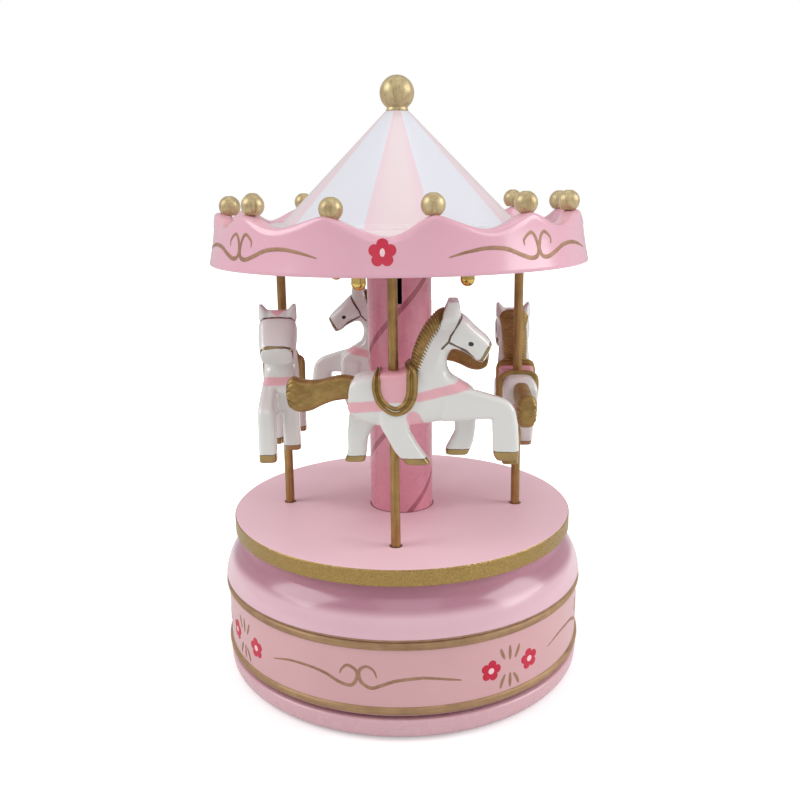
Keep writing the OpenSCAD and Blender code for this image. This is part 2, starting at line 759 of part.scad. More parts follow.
module governor_frame() {
    x0 = worm_x - governor_w / 2;
    color(brass) difference() {
        union() {
            block([x0, worm_y - 2, governor_z1 - governor_t], [x0 + governor_w, governor_post_y, governor_z1]);
            block([x0, governor_post_y - governor_t, bed_z1], [x0 + governor_w, governor_post_y, governor_z1]);
        }
        translate([worm_x, worm_y, 0]) hole(worm_pivot_r + running_gap, bed_z1, governor_z1);
    }
}
module worm_spindle() {
    color(steel) translate([worm_x, worm_y, 0]) {
        translate([0, 0, plate_z1 + slip]) cylinder(r = worm_pivot_r, h = governor_z1 + clear + fan_h - plate_z1);
        translate([0, 0, bed_z1 + clear]) cylinder(r = worm_r, h = governor_z1 - governor_t - bed_z1 - 2 * clear);
    }
}
module air_brake() {
    blade = 0.5;
    color(nylon) translate([worm_x, worm_y, governor_z1 + clear]) difference() {
        union() {
            block([-fan_r, -blade / 2, 0], [fan_r, blade / 2, fan_h]);
            cylinder(r = 2 * worm_pivot_r, h = fan_h);
        }
        hole(worm_pivot_r + seat_gap, 0, fan_h);
    }
}

// ---- turntable ----

module turntable() {
    color(gloss_pink) difference() {
        union() {
            rotate_extrude() polygon([
                [0, turntable_z0], [turntable_r - edge / 2, turntable_z0], [turntable_r, turntable_z0 + edge / 2],
                [turntable_r, turntable_z1 - edge / 2], [turntable_r - edge / 2, turntable_z1], [0, turntable_z1]
            ]);
            translate([0, 0, hub_gear_z0 + gear_t])
                cylinder(r = boss_r, h = turntable_z0 - hub_gear_z0 - gear_t + eps);
        }
        hole(bush_r + seat_gap, hub_gear_z0, turntable_z1);
        hole(column_r + seat_gap, column_z0, turntable_z1);
        for (k = [0 : 3]) at_azimuth(pole_azimuth + quarter_turn * k, pole_circle_r)
            hole(pole_r + pole_play, turntable_z0, turntable_z1);
    }
}
module turntable_bush() {
    color(brass) difference() {
        union() {
            translate([0, 0, bush_z0]) cylinder(r = bush_flange_r, h = bush_flange_h);
            translate([0, 0, bush_z0]) cylinder(r = bush_r, h = turntable_z1 - bush_z0);
        }
        hole(post_r + running_gap, bush_z0, turntable_z1);
    }
}
module hub_gear() {
    color(nylon) translate([0, 0, hub_gear_z0]) gear(hub_teeth, gear_m, gear_t, bush_r + seat_gap);
}

// ---- column and roof ----

dish_drop = 1.2;

module column() {
    color(column_pink) difference() {
        tube(column_r, column_in_r, column_z0, column_z1);
        for (k = [0 : 3]) at_azimuth(pole_azimuth + quarter_turn * k, pole_circle_r) rotate([0, 0, -arm_turn])
            block([-arm_w / 2 - slip, arm_len - slot_out, turntable_z1 + slot_rise],
                  [arm_w / 2 + slip, arm_len + slot_in, gutter_z0]);
    }
}
module column_cap() {
    color(nylon) difference() {
        union() {
            translate([0, 0, column_z1 - cap_plug_h]) cylinder(r = column_in_r - seat_gap, h = cap_plug_h + eps);
            translate([0, 0, column_z1]) cylinder(r = column_r, h = cap_flange_h);
            translate([0, 0, column_z1]) cylinder(r = cone_top_r - 0.2, h = apex_z - column_z1);
        }
        hole(stem_r, column_z1 - cap_plug_h, apex_z);
    }
}
module ceiling_plate() {
    color(gloss_pink) difference() {
        union() {
            tube(rebate_r - slip, dish_r - dish_t, flange_z0, flange_z1);
            tube(dish_r, dish_r - dish_t, dish_z0, flange_z0 + eps);
            tube(dish_r, column_r + seat_gap, dish_z0, dish_z0 + dish_t);
            tube(column_r + 2, column_r + seat_gap, dish_z0 - dish_t, dish_z0 + eps);
        }
        for (k = [0 : 3]) at_azimuth(pole_azimuth + quarter_turn * k, pole_circle_r)
            hole(pole_r + clear, dish_z0, dish_z0 + dish_t);
        for (a = roof_screw_azimuths) at_azimuth(a, roof_screw_circle) hole(screw_r, flange_z0, flange_z1);
    }
}
module ceiling_screws() {
    color(steel) for (a = roof_screw_azimuths) at_azimuth(a, roof_screw_circle)
        screw_up(screw_r - seat_gap, flange_z0, flange_z1 + roof_screw_len);
}
module canopy() {
    color(gloss_pink) difference() {
        rotate_extrude() polygon([
            [rebate_r, roof_z0], [canopy_r - edge, roof_z0], [canopy_r, roof_z0 + edge],
            [canopy_r - 0.8, roof_z0 + rim_h / 2], [rim_top_r, rim_z1], [gutter_r, rim_z1],
            [gutter_r, gutter_low_z], [brim_r, gutter_low_z], [eave_r, gutter_z1 - eave_drop],
            [cone_base_r, gutter_z1], [cone_top_r, cone_z1],
            [stem_r + slip, cone_z1], [stem_r + slip, apex_z], [cone_top_r, apex_z],
            [cone_base_r + (gutter_z1 - cone_wall_h - gutter_z0) / cone_slope, gutter_z0],
            [brim_under_r, gutter_z0], [brim_under_r + roof_t, brim_under_z],
            [rim_in_r, brim_under_z], [rim_in_r, flange_z1], [rebate_r, flange_z1]
        ]);
        for (a = roof_screw_azimuths) at_azimuth(a, roof_screw_circle)
            hole(screw_r, flange_z1, flange_z1 + roof_screw_len + clear);
        for (i = [1 : waves]) rotate([0, 0, wave_phase + full_turn * (i - 0.5) / waves])
            translate([0, -gutter_r + scallop_in, rim_z1 + wave_r - (i < waves ? wave_depth : front_wave_depth)])
                rotate([90, 0, 0]) cylinder(r = wave_r, h = scallop_len);
        for (i = [0 : waves - 1]) at_azimuth(wave_phase + full_turn * i / waves, ball_circle_r)
            hole(peg_r + seat_gap, rim_z1 - peg_len, rim_z1);
    }
}
module rim_balls() {
    color(antique_gold) for (i = [0 : waves - 1]) at_azimuth(wave_phase + full_turn * i / waves, ball_circle_r)
        translate([0, 0, rim_z1]) union() {
            difference() {
                translate([0, 0, rim_ball_r - ball_sink]) sphere(r = rim_ball_r);
                hole(2 * rim_ball_r, -rim_ball_r, -eps);
            }
            translate([0, 0, -peg_len + slip]) cylinder(r = peg_r, h = peg_len);
        }
}
module finial() {
    ball_z = cone_z1 + finial_r + 0.45;
    color(antique_gold) union() {
        translate([0, 0, ball_z]) sphere(r = finial_r);
        translate([0, 0, cone_z1]) cylinder(r = finial_r / 2, h = finial_r / 2);
        translate([0, 0, column_z1 - 3]) cylinder(r = stem_r - seat_gap, h = cone_z1 - column_z1 + 4);
    }
}
module lamp_drops() {
    color(brass) for (k = [0 : 3]) at_azimuth(pole_azimuth + drop_shift + quarter_turn * k, drop_circle_r)
        translate([0, 0, dish_z0]) union() {
            translate([0, 0, drop_r - drop_len]) sphere(r = drop_r);
            translate([0, 0, drop_r - drop_len]) cylinder(r = drop_r, h = drop_len - drop_r - 0.8);
            translate([0, 0, -1]) cylinder(r = drop_r * 0.6, h = 1);
        }
}

// ---- horses, poles and lift arms ----

// Lift of each horse above its lowest point, as shares of the stroke
function lift(k) = stroke * lifts[k];
function seat_z(k) = turntable_z1 + seat_low + lift(k);

// Moves each corner of an outline inwards by d along its bisector
function unit(v) = v / norm(v);
function inset(points, d) = [
    for (i = [0 : len(points) - 1]) let (
        n = len(points),
        before = unit(points[i] - points[(i + n - 1) % n]),
        after = unit(points[(i + 1) % n] - points[i]),
        bisector = unit(before + after),
        grow = min(1.5, 1 / max(0.3, abs(before * bisector)))
    ) points[i] + d * grow * [bisector[1], -bisector[0]]
];
// A plate standing along the horse, from y0 to y1
module plate(points, y0, y1) {
    translate([0, y1, 0]) rotate([90, 0, 0]) linear_extrude(y1 - y0) polygon(points);
}
// A plate with a step along its edges
module soft_plate(points, y0, y1) {
    plate(points, y0 + plate_step, y1 - plate_step);
    plate(inset(points, plate_step), y0, y1);
}
// Outlines as the horse faces right: along it, and up from the saddle at the pole
torso = [
    [4.2, 0.6], [5.6, 6.5], [8.2, 11.5], [12, 15.6], [17.2, 15], [24, 8.8], [25, 7.2], [22.6, 2.9],
    [20.9, 3.1], [15.4, 6.2], [13.8, 5.2], [13.6, 3], [15.2, -0.6], [19.6, -3.6], [21, -6.5],
    [20.5, -11.2], [15.2, -12], [9, -12.7], [3.5, -13.2], [-3.8, -13.2], [-9.6, -11], [-11.6, -7.5],
    [-11.6, -3.4], [-10.2, -1.2], [-8.8, -0.2], [-5.4, 0.1]
];
near_foreleg = [
    [13.5, -2], [19.4, -3.5], [24.9, -5.2], [29.2, -6.9], [30.9, -9.4], [31.7, -14.5], [31.9, -21.2],
    [30.8, -22.6], [26.6, -22.8], [25.4, -21.1], [25.1, -11.4], [20.5, -11.2], [14, -12]
];
far_foreleg = [
    [14, -6], [20.6, -9], [21, -15], [20.7, -19.4], [18.9, -23], [13.3, -23.1], [13.3, -21.2],
    [15.7, -16.2], [15.6, -11.8]
];
near_hindleg = [
    [3, -7], [3.5, -13], [4.1, -15.1], [6.4, -18.8], [9.4, -23.3], [3.1, -23.2],
    [0, -19.9], [-1.2, -16.6], [-3.6, -12.5], [-4, -7]
];
far_hindleg = [
    [-4, -7], [-3.8, -12.6], [-5.8, -15.5], [-7.2, -17.9], [-7.4, -21], [-8, -25],
    [-13.4, -25], [-12.3, -21.5], [-12.4, -19], [-12, -14.7], [-11.4, -7]
];
mane = [
    [12.8, 16.2], [12.6, 13.6], [8.8, 9.2], [6.4, 3.6], [4.6, 0.4], [3.4, 2.4], [4.5, 7], [5.7, 10.5],
    [7.9, 13.9], [10.4, 15.9]
];
tail = [
    [-10.2, -1.2], [-10.6, -6.9], [-17.1, -7.9], [-21.4, -9.9], [-24.5, -10.2], [-27, -8.6],
    [-27.6, -5.8], [-26, -1], [-19.5, -2], [-12.7, -0.6]
];
ear = [[12.6, 14.6], [14.3, 18.7], [16.3, 18.9], [17.2, 14.6]];
saddle_rim = [
    [-5.2, 0.5], [-2.6, 0.5], [-2.4, -3.4], [-1.2, -6], [1, -7.2], [3, -5.6], [3.6, -2.2], [2.9, 1.6],
    [4.4, 2.6], [6, -0.5], [6.2, -5.6], [4.2, -9.4], [1, -10.4], [-2.6, -8.4], [-5, -4.2]
];
saddle_seat = [[-3.6, 0.3], [3.6, 0.6], [4.4, -3], [2, -8], [-1.5, -7.4], [-3.8, -3.6]];

module horse(k) {
    half = horse_t / 2;
    color(horse_white) at_azimuth(pole_azimuth + quarter_turn * k, pole_circle_r)
        translate([0, 0, seat_z(k)]) rotate([0, 0, horse_turns[k]]) difference() {
            union() {
                soft_plate(torso, -half + body_inset, half - body_inset);
                soft_plate(near_foreleg, -half, -leg_split);
                soft_plate(near_hindleg, -half, -leg_split);
                soft_plate(far_foreleg, leg_split, half);
                soft_plate(far_hindleg, leg_split, half);
                soft_plate(mane, -half + mane_inset, half - mane_inset);
                soft_plate(tail, -half + tail_inset, half - tail_inset);
                plate(ear, -half, -half + ear_t);
                plate(ear, half - ear_t, half);
                plate(saddle_seat, -half - seat_proud, half + seat_proud);
                plate(saddle_rim, -half - rim_proud, half + rim_proud);
            }
            hole(pole_r + seat_gap, -horse_deep, horse_high);
        }
}
module pole(k) {
    color(antique_gold) at_azimuth(pole_azimuth + quarter_turn * k, pole_circle_r)
        translate([0, 0, pole_low_z + lift(k)]) cylinder(r = pole_r, h = arm_low_z + arm_t - pole_low_z);
}
module lift_arm(k) {
    color(steel) at_azimuth(pole_azimuth + quarter_turn * k, pole_circle_r)
        translate([0, 0, arm_low_z + lift(k)]) rotate([0, 0, -arm_turn]) difference() {
            union() {
                block([-arm_w / 2, 0, 0], [arm_w / 2, arm_len, arm_t]);
                cylinder(r = arm_eye_r, h = arm_t);
            }
            hole(pole_r + seat_gap, 0, arm_t);
        }
}

winding_base();
felt_ring();
slip_ring();
winding_arbor();
arbor_screw();
ratchet_wheel();
base_shell();
bottom_plate();
bottom_screws();
deck();
deck_screws();
centre_post();
post_screws();
lifting_cam();
bedplate();
movement_screws();
cylinder_bearings();
comb_block();
comb();
comb_screws();
governor_frame();
click_pivot();
click();
spring_barrel();
barrel_cover();
mainspring();
transfer_shaft();
drive_pinion();
transfer_gear();
music_cylinder();
cylinder_shaft();
cylinder_pinion();
cylinder_gear();
worm_spindle();
air_brake();
turntable();
turntable_bush();
hub_gear();
column();
column_cap();
ceiling_plate();
ceiling_screws();
canopy();
rim_balls();
finial();
lamp_drops();
horse(0);  // horse_front
pole(0);  // pole_front
lift_arm(0);  // lift_arm_front
horse(1);  // horse_right
pole(1);  // pole_right
lift_arm(1);  // lift_arm_right
horse(2);  // horse_back
pole(2);  // pole_back
lift_arm(2);  // lift_arm_back
horse(3);  // horse_left
pole(3);  // pole_left
lift_arm(3);  // lift_arm_left
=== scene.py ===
# %% [markdown]
# # A wind-up carousel music box
# A painted wooden and moulded toy: a round base that holds the spring movement, a platform
# on it, a column, a crown-shaped roof and four horses on poles.  The solids of every piece,
# with their joints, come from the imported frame.  This file gives the pieces that are seen
# their true curves and paint, and gives every piece left inside its own metal, nylon or wood.
# All sizes below are millimetres; the scene itself is in metres, so a mesh is scaled once,
# as it is made.

# %% Load the frame
import json

import bpy
import numpy as np
from mathutils import Matrix, Vector


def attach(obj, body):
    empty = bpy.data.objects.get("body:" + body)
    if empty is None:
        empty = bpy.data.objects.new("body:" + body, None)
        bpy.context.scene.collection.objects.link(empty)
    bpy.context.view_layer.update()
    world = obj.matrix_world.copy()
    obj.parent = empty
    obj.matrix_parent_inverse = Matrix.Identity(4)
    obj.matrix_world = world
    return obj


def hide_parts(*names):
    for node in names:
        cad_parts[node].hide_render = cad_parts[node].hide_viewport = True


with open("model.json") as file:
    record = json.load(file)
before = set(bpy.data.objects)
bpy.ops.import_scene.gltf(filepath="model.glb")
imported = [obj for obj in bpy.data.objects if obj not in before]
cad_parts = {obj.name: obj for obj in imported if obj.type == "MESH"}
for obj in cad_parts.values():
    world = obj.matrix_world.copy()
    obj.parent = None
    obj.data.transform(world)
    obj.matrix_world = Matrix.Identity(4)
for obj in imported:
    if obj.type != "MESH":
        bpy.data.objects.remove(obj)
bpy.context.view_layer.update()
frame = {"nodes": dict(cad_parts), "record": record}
MM = 0.001      # metres in a millimetre

# %% [markdown]
# ## Camera
# The toy is seen from a little above and from close by, so its circles open into wide
# ellipses.  The lens is given for a 36 mm sensor and a square picture.  A camera could follow a
# target with a constraint; here its matrix is written out, because it never moves.  It is
# turned about X from looking straight down, then rolled a hair about its own line of sight.

# %% Camera
LENS, SENSOR, NEAREST = 40.2, 36, 0.01
EYE = Vector((-0.2, -257.4, 140.5)) * MM
RAISED, ROLLED = 76.53, -0.72      # degrees


def link(name, data):
    """A new object in the scene that shows the data."""
    made = bpy.data.objects.new(name, data)
    bpy.context.scene.collection.objects.link(made)
    return made


camera = link("camera", bpy.data.cameras.new("camera"))
camera.data.lens = LENS
camera.data.sensor_width = SENSOR
camera.data.clip_start = NEAREST
tilt = Matrix.Rotation(np.radians(RAISED), 4, "X")
roll = Matrix.Rotation(np.radians(ROLLED), 4, "Z")
camera.matrix_world = Matrix.Translation(EYE) @ tilt @ roll
bpy.context.scene.camera = camera
print("camera at", [round(v, 4) for v in camera.location])

# %% [markdown]
# ## Table and light
# A pale table carries the toy.  A plain white sheet would turn grey towards its far side, so
# its material adds a glow of its own that only the camera sees.  The glow grows with the
# distance from the axis, and near the base it is weak, so the soft shadow there stays.

# %% Table
TABLE_HALF = 3                     # metres
GLOW_FROM, GLOW_FULL = 0.08, 0.3   # metres from the axis
GLOW_LEAST = 0.34
table_mesh = bpy.data.meshes.new("table")
table_corners = [(x * TABLE_HALF, y * TABLE_HALF, 0) for x, y in ((-1, -1), (1, -1), (1, 1), (-1, 1))]
table_mesh.from_pydata(table_corners, [], [(0, 1, 2, 3)])
table = link("table", table_mesh)
print("table corners in metres:", table_corners)

# %% Colours and nodes
def srgb(red, green, blue):
    """A colour from 0 to 255 as the light it stands for: ((c + 0.055) / 1.055) ^ 2.4."""
    c = np.array([red, green, blue]) / 255
    return (*np.where(c < 0.04045, c / 12.92, ((c + 0.055) / 1.055) ** 2.4), 1.0)


def add(tree, kind, setup=(), **inputs):
    """Adds a node.  setup sets its own values, and each input takes a socket or a value."""
    made = tree.nodes.new(kind)
    for key, value in dict(setup).items():
        setattr(made, key, value)
    for key, value in inputs.items():
        socket = made.inputs[int(key[1:])] if key[1:].isdigit() else made.inputs[key.replace("_", " ")]
        if isinstance(value, bpy.types.NodeSocket):
            tree.links.new(value, socket)
        else:
            socket.default_value = value
    return made


def new_material(name):
    """An empty material and its node tree, with the output in place."""
    material = bpy.data.materials.new(name)
    material.use_nodes = True
    material.node_tree.nodes.clear()
    out = material.node_tree.nodes.new("ShaderNodeOutputMaterial")
    print("material:", name)
    return material, material.node_tree, out.inputs["Surface"]


print("a middle grey, 128, as light:", round(float(srgb(128, 128, 128)[0]), 3))

# %% Paper of the table
paper, tree, surface = new_material("table_paper")
path = add(tree, "ShaderNodeLightPath").outputs
lit = add(tree, "ShaderNodeBsdfDiffuse", Color=(0.86, 0.86, 0.86, 1))
spot = add(tree, "ShaderNodeTexCoord").outputs["Object"]
away = add(tree, "ShaderNodeVectorMath", {"operation": "LENGTH"}, Vector=spot).outputs["Value"]
reach = {"From_Min": GLOW_FROM, "From_Max": GLOW_FULL, "To_Min": GLOW_LEAST, "To_Max": 1.0}
far = add(tree, "ShaderNodeMapRange", Value=away, **reach)
glow = add(tree, "ShaderNodeEmission", Color=(1, 1, 1, 1), Strength=far.outputs[0])
both = add(tree, "ShaderNodeAddShader", i0=lit.outputs[0], i1=glow.outputs[0])
shown = add(tree, "ShaderNodeMixShader", i0=path["Is Camera Ray"], i1=lit.outputs[0], i2=both.outputs[0])
tree.links.new(shown.outputs[0], surface)
table_mesh.materials.append(paper)
print("table:", [round(v, 2) for v in table.dimensions], "metres")

# %% [markdown]
# The light is a white sky and four soft windows: two strong ones, left and right, give the
# lacquer its two long highlights, and two weak ones, in front and above, fill the shade.  An
# image of a room would give richer reflections, but windows are easy to place and to weigh.
# The camera sees the sky at full white, while the toy gets about half of that.

# %% Sky and windows
SKY_ON_TOY = 0.55
sky = bpy.data.worlds.new("sky")
sky.use_nodes = True
bpy.context.scene.world = sky
tree = sky.node_tree
tree.nodes.clear()
path = add(tree, "ShaderNodeLightPath").outputs
larger = {"operation": "MAXIMUM"}
direct = add(tree, "ShaderNodeMath", larger, i0=path["Is Camera Ray"], i1=path["Is Transmission Ray"])
strength = add(tree, "ShaderNodeMapRange", Value=direct.outputs[0], To_Min=SKY_ON_TOY, To_Max=1.0)
white = add(tree, "ShaderNodeBackground", Color=(1, 1, 1, 1), Strength=strength.outputs[0])
tree.links.new(white.outputs[0], add(tree, "ShaderNodeOutputWorld").inputs[0])
print("sky:", sky.name, "at", SKY_ON_TOY, "on the toy")

# %% Windows
def window(name, place, aim, size, power):
    """A square soft light at place that faces aim.  Its size is in metres and its power in watts."""
    lamp = bpy.data.lights.new(name, "AREA")
    lamp.size = size
    lamp.energy = power
    holder = link(name, lamp)
    holder.location = place
    holder.rotation_euler = (Vector(aim) - Vector(place)).to_track_quat("-Z", "Y").to_euler()


window("window_left", (-0.68, -0.16, 0.58), (0, 0, 0.08), 0.5, 2.9)
window("window_right", (0.74, -0.12, 0.46), (0, 0, 0.08), 0.5, 3.3)
window("window_front", (0.05, -0.55, 0.85), (0, 0, 0.08), 0.55, 0.8)
window("window_top", (0.0, 0.15, 0.95), (0, 0, 0.1), 0.5, 0.7)
bpy.context.scene.view_settings.view_transform = "Standard"

# %% [markdown]
# ## Surfaces from arrays
# Nearly every piece here is a grid of points: one parameter goes round the piece and the
# other along its profile.  `sheet` turns a grid into quads, and `piece` joins several sheets
# into one mesh.  Points that fall together at a pole are merged, so the quads there become
# triangles and the skin is closed, and each closed sheet is turned so that its faces point
# outwards, which is where its signed volume is positive.

# %% A grid of quads
def sheet(points, wrap=(False, False), finish=0):
    """Quads of a grid: face (i, j) has corners (i, j), (i+1, j), (i+1, j+1) and (i, j+1), modulo the size
    where the grid wraps.  They are turned round where the volume, sum of a . (b x c) / 6 over the
    triangles, is below zero."""
    n, m = points.shape[:2]
    i = np.arange(n if wrap[0] else n - 1)[:, None]
    j = np.arange(m if wrap[1] else m - 1)[None, :]
    ahead, over = (i + 1) % n, (j + 1) % m
    quads = np.stack(np.broadcast_arrays(i * m + j, ahead * m + j, ahead * m + over, i * m + over), -1)
    finish = np.broadcast_to(np.asarray(finish), quads.shape[:2]).reshape(-1)
    points, quads = points.reshape(-1, 3).astype(float), quads.reshape(-1, 4)
    a, b, c, d = (points[quads[:, k]] for k in range(4))
    volume = (a * np.cross(b, c)).sum() + (a * np.cross(c, d)).sum()
    return points, quads[:, ::-1] if volume < 0 else quads, finish


print("a grid of 3 by 4 points has", len(sheet(np.zeros((3, 4, 3)))[1]), "quads")

# %% Several sheets in one mesh
def mesh_from(name, sheets):
    """One mesh in metres from several sheets.  Points that fall together are welded, and a quad drops the
    corners that it loses by it."""
    start = np.cumsum([0] + [len(points) for points, _, _ in sheets])
    points = np.concatenate([points for points, _, _ in sheets])
    quads = np.concatenate([quads + first for (_, quads, _), first in zip(sheets, start)])
    finish = np.concatenate([finish for _, _, finish in sheets])
    _, first, where = np.unique(np.round(points, 4), axis=0, return_index=True, return_inverse=True)
    quads = where.reshape(-1)[quads]
    fresh = quads != np.roll(quads, 1, axis=1)
    count = fresh.sum(1)
    keep = count >= 3
    quads, fresh, count = quads[keep], fresh[keep], count[keep]
    mesh = bpy.data.meshes.new(name)
    mesh.vertices.add(len(first))
    mesh.vertices.foreach_set("co", (points[first] * MM).ravel())
    mesh.loops.add(int(count.sum()))
    mesh.loops.foreach_set("vertex_index", quads[fresh])
    mesh.polygons.add(len(count))
    mesh.polygons.foreach_set("loop_start", np.concatenate([[0], np.cumsum(count)[:-1]]))
    mesh.polygons.foreach_set("material_index", finish[keep])
    mesh.update(calc_edges=True)
    mesh.validate()
    return mesh

# %% A finished piece
def piece(name, sheets, body, materials, stands_for=(), sharp=35):
    """One object from several sheets, riding on a body, with smooth shading up to the sharp angle in
    degrees.  It stands for the solids that are named."""
    mesh = mesh_from(name, sheets)
    for material in materials:
        mesh.materials.append(material)
    mesh.shade_smooth()
    mesh.set_sharp_from_angle(angle=np.radians(sharp))
    made = link(name, mesh)
    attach(made, body)
    if stands_for:
        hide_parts(*stands_for)
    print(f"{name}: {len(mesh.polygons)} faces")
    return made

# %% [markdown]
# Most parts of the toy are turned, so their shape is a line of (r, z) points.  Such a line
# could be a Bezier curve with a Screw modifier; as an array it can also be measured, refined
# and lifted by a wave.  `rounded` and `arc` draw the line, `fine` refines it, `ring` and
# `turned` carry it round the axis, and `smooth_line` draws a free curve.

# %% Profiles
def rounded(corners, steps=7):
    """A closed profile of (r, z, radius) corners p with an arc in each.  The arc runs from
    a = p + reach * before to b = p + reach * after, with reach = radius / tan(half the corner), as
    ((1-t)^2 a + 2wt(1-t) p + t^2 b) / ((1-t)^2 + 2wt(1-t) + t^2), where w = sin(half)."""
    corners = np.array(corners, float)
    p, radius = corners[:, :2], corners[:, 2]
    before, after = np.roll(p, 1, 0) - p, np.roll(p, -1, 0) - p
    lb, la = np.linalg.norm(before, axis=1), np.linalg.norm(after, axis=1)
    half = np.arccos(np.clip((before * after).sum(1) / (lb * la), -1, 1)) / 2
    reach = np.minimum(radius / np.tan(half), 0.49 * np.minimum(lb, la))
    a, b = p + before * (reach / lb)[:, None], p + after * (reach / la)[:, None]
    t = np.linspace(0, 1, steps)[None, :, None]
    w = np.sin(half)[:, None, None]
    arc = (1 - t) ** 2 * a[:, None] + 2 * w * t * (1 - t) * p[:, None] + t**2 * b[:, None]
    return (arc / ((1 - t) ** 2 + 2 * w * t * (1 - t) + t**2)).reshape(-1, 2)


def fine(line, step, closed=True):
    """The same line with extra points at whole steps of the length along it, so that no stretch is
    longer than step."""
    if closed:
        line = np.concatenate([line, line[:1]])
    along = np.concatenate([[0], np.cumsum(np.linalg.norm(np.diff(line, axis=0), axis=1))])
    marks = np.unique(np.round(np.concatenate([along, np.arange(0, along[-1], step)]), 4))
    out = np.stack([np.interp(marks, along, line[:, k]) for k in range(line.shape[1])], 1)
    return out[:-1] if closed else out


square = rounded([(0, 0, 0.2), (1, 0, 0.2), (1, 1, 0.2), (0, 1, 0.2)], 3)
print("first corner of a rounded square:", square.round(2).tolist()[:3])

# %% Round the axis
def ring(r, azimuth, z):
    """Points at radius r, height z and azimuth a in degrees, counted from the front towards the right:
    (r sin a, -r cos a, z)."""
    a = np.radians(azimuth)
    return np.stack(np.broadcast_arrays(r * np.sin(a), -r * np.cos(a), z), -1)


def turned(profile, steps=288):
    """A profile of (r, z) carried once round the axis."""
    azimuth = np.arange(steps)[None, :] * 360 / steps
    return ring(profile[:, :1], azimuth, profile[:, 1:2])


print("the front of a ring of radius 1:", ring(1.0, 0.0, 0.0).tolist())

# %% Free curves
def smooth_line(points, steps, closed=False):
    """A Catmull-Rom curve through points:
    0.5 (2p1 + (p2-p0)t + (2p0-5p1+4p2-p3)t^2 + (3p1-p0-3p2+p3)t^3)."""
    p = np.array(points, float)
    ends = (p[-1:], p[:1], p[1:2]) if closed else (2 * p[:1] - p[1:2], 2 * p[-1:] - p[-2:-1])
    p = np.concatenate([ends[0], p, *ends[1:]])
    spans = len(p) - 3
    at = np.linspace(0, spans, steps, endpoint=not closed)
    k = np.minimum(at.astype(int), spans - 1)
    t = (at - k)[:, None]
    p0, p1, p2, p3 = (p[k + n] for n in range(4))
    squared, cubed = 2 * p0 - 5 * p1 + 4 * p2 - p3, 3 * p1 - p0 - 3 * p2 + p3
    return 0.5 * (2 * p1 + (p2 - p0) * t + squared * t**2 + cubed * t**3)


print("a curve through three points:", smooth_line([(0, 0), (1, 1), (2, 0)], 5).round(2).tolist())

# %% [markdown]
# ## Finishes
# The toy has only a few finishes: sprayed lacquer on moulded plastic and wood, gold paint put
# on with a brush, glitter on the platform's edge, and bare metal, nylon, felt and plywood
# inside.  What several of them share is a node group: `places` gives the turn, height and
# radius of a point, `paint_skin` gives the slight cloudiness and orange peel of a sprayed
# coat, `brushed_coat` gives streaks along one direction, and `sparkle` tilts each grain of
# glitter its own way.  Copying the nodes into every material would look the same, but a group
# is mended in one place.

# %% Helpers for groups
def new_group(name, inputs, outputs):
    """An empty node group with named inputs (name, kind, value) and outputs (name, kind)."""
    tree = bpy.data.node_groups.new(name, "ShaderNodeTree")
    for label, kind, value in inputs:
        tree.interface.new_socket(name=label, in_out="INPUT", socket_type=kind).default_value = value
    for label, kind in outputs:
        tree.interface.new_socket(name=label, in_out="OUTPUT", socket_type=kind)
    print("group:", name, "gives", [label for label, _ in outputs])
    return tree, tree.nodes.new("NodeGroupInput").outputs, tree.nodes.new("NodeGroupOutput").inputs


def math_node(tree, operation, *values):
    """One step of arithmetic on sockets or numbers."""
    inputs = {f"i{k}": value for k, value in enumerate(values)}
    return add(tree, "ShaderNodeMath", {"operation": operation}, **inputs).outputs[0]


def vector_node(tree, operation, output=0, **inputs):
    """One step of arithmetic on vectors."""
    return add(tree, "ShaderNodeVectorMath", {"operation": operation}, **inputs).outputs[output]


def noise_node(tree, vector, scale, detail, roughness):
    """Noise from 0 to 1: scale is its blotches in a metre, and detail the number of finer layers."""
    inputs = {"Vector": vector, "Scale": scale, "Detail": detail, "Roughness": roughness}
    return add(tree, "ShaderNodeTexNoise", **inputs).outputs["Fac"]


def mix(tree, share, first, second):
    """first * (1 - share) + second * share, of two colours."""
    colours = {"data_type": "RGBA"}
    return add(tree, "ShaderNodeMix", colours, i0=share, i6=first, i7=second).outputs["Result"]

# %% Where a point is
FLOAT, COLOUR, VECTOR = "NodeSocketFloat", "NodeSocketColor", "NodeSocketVector"

places, given, out = new_group("places", [], [("Turn", FLOAT), ("Height", FLOAT), ("Radius", FLOAT)])
spot = add(places, "ShaderNodeTexCoord").outputs["Object"]
axes = add(places, "ShaderNodeSeparateXYZ", Vector=spot).outputs
turn = math_node(places, "ARCTAN2", axes[0], math_node(places, "MULTIPLY", axes[1], -1.0))
flat = add(places, "ShaderNodeCombineXYZ", X=axes[0], Y=axes[1])
radius = vector_node(places, "LENGTH", "Value", Vector=flat.outputs[0])
degrees = math_node(places, "DEGREES", turn)
height = math_node(places, "MULTIPLY", axes[2], 1000.0)
millimetres = math_node(places, "MULTIPLY", radius, 1000.0)
places.links.new(degrees, out["Turn"])
places.links.new(height, out["Height"])
places.links.new(millimetres, out["Radius"])

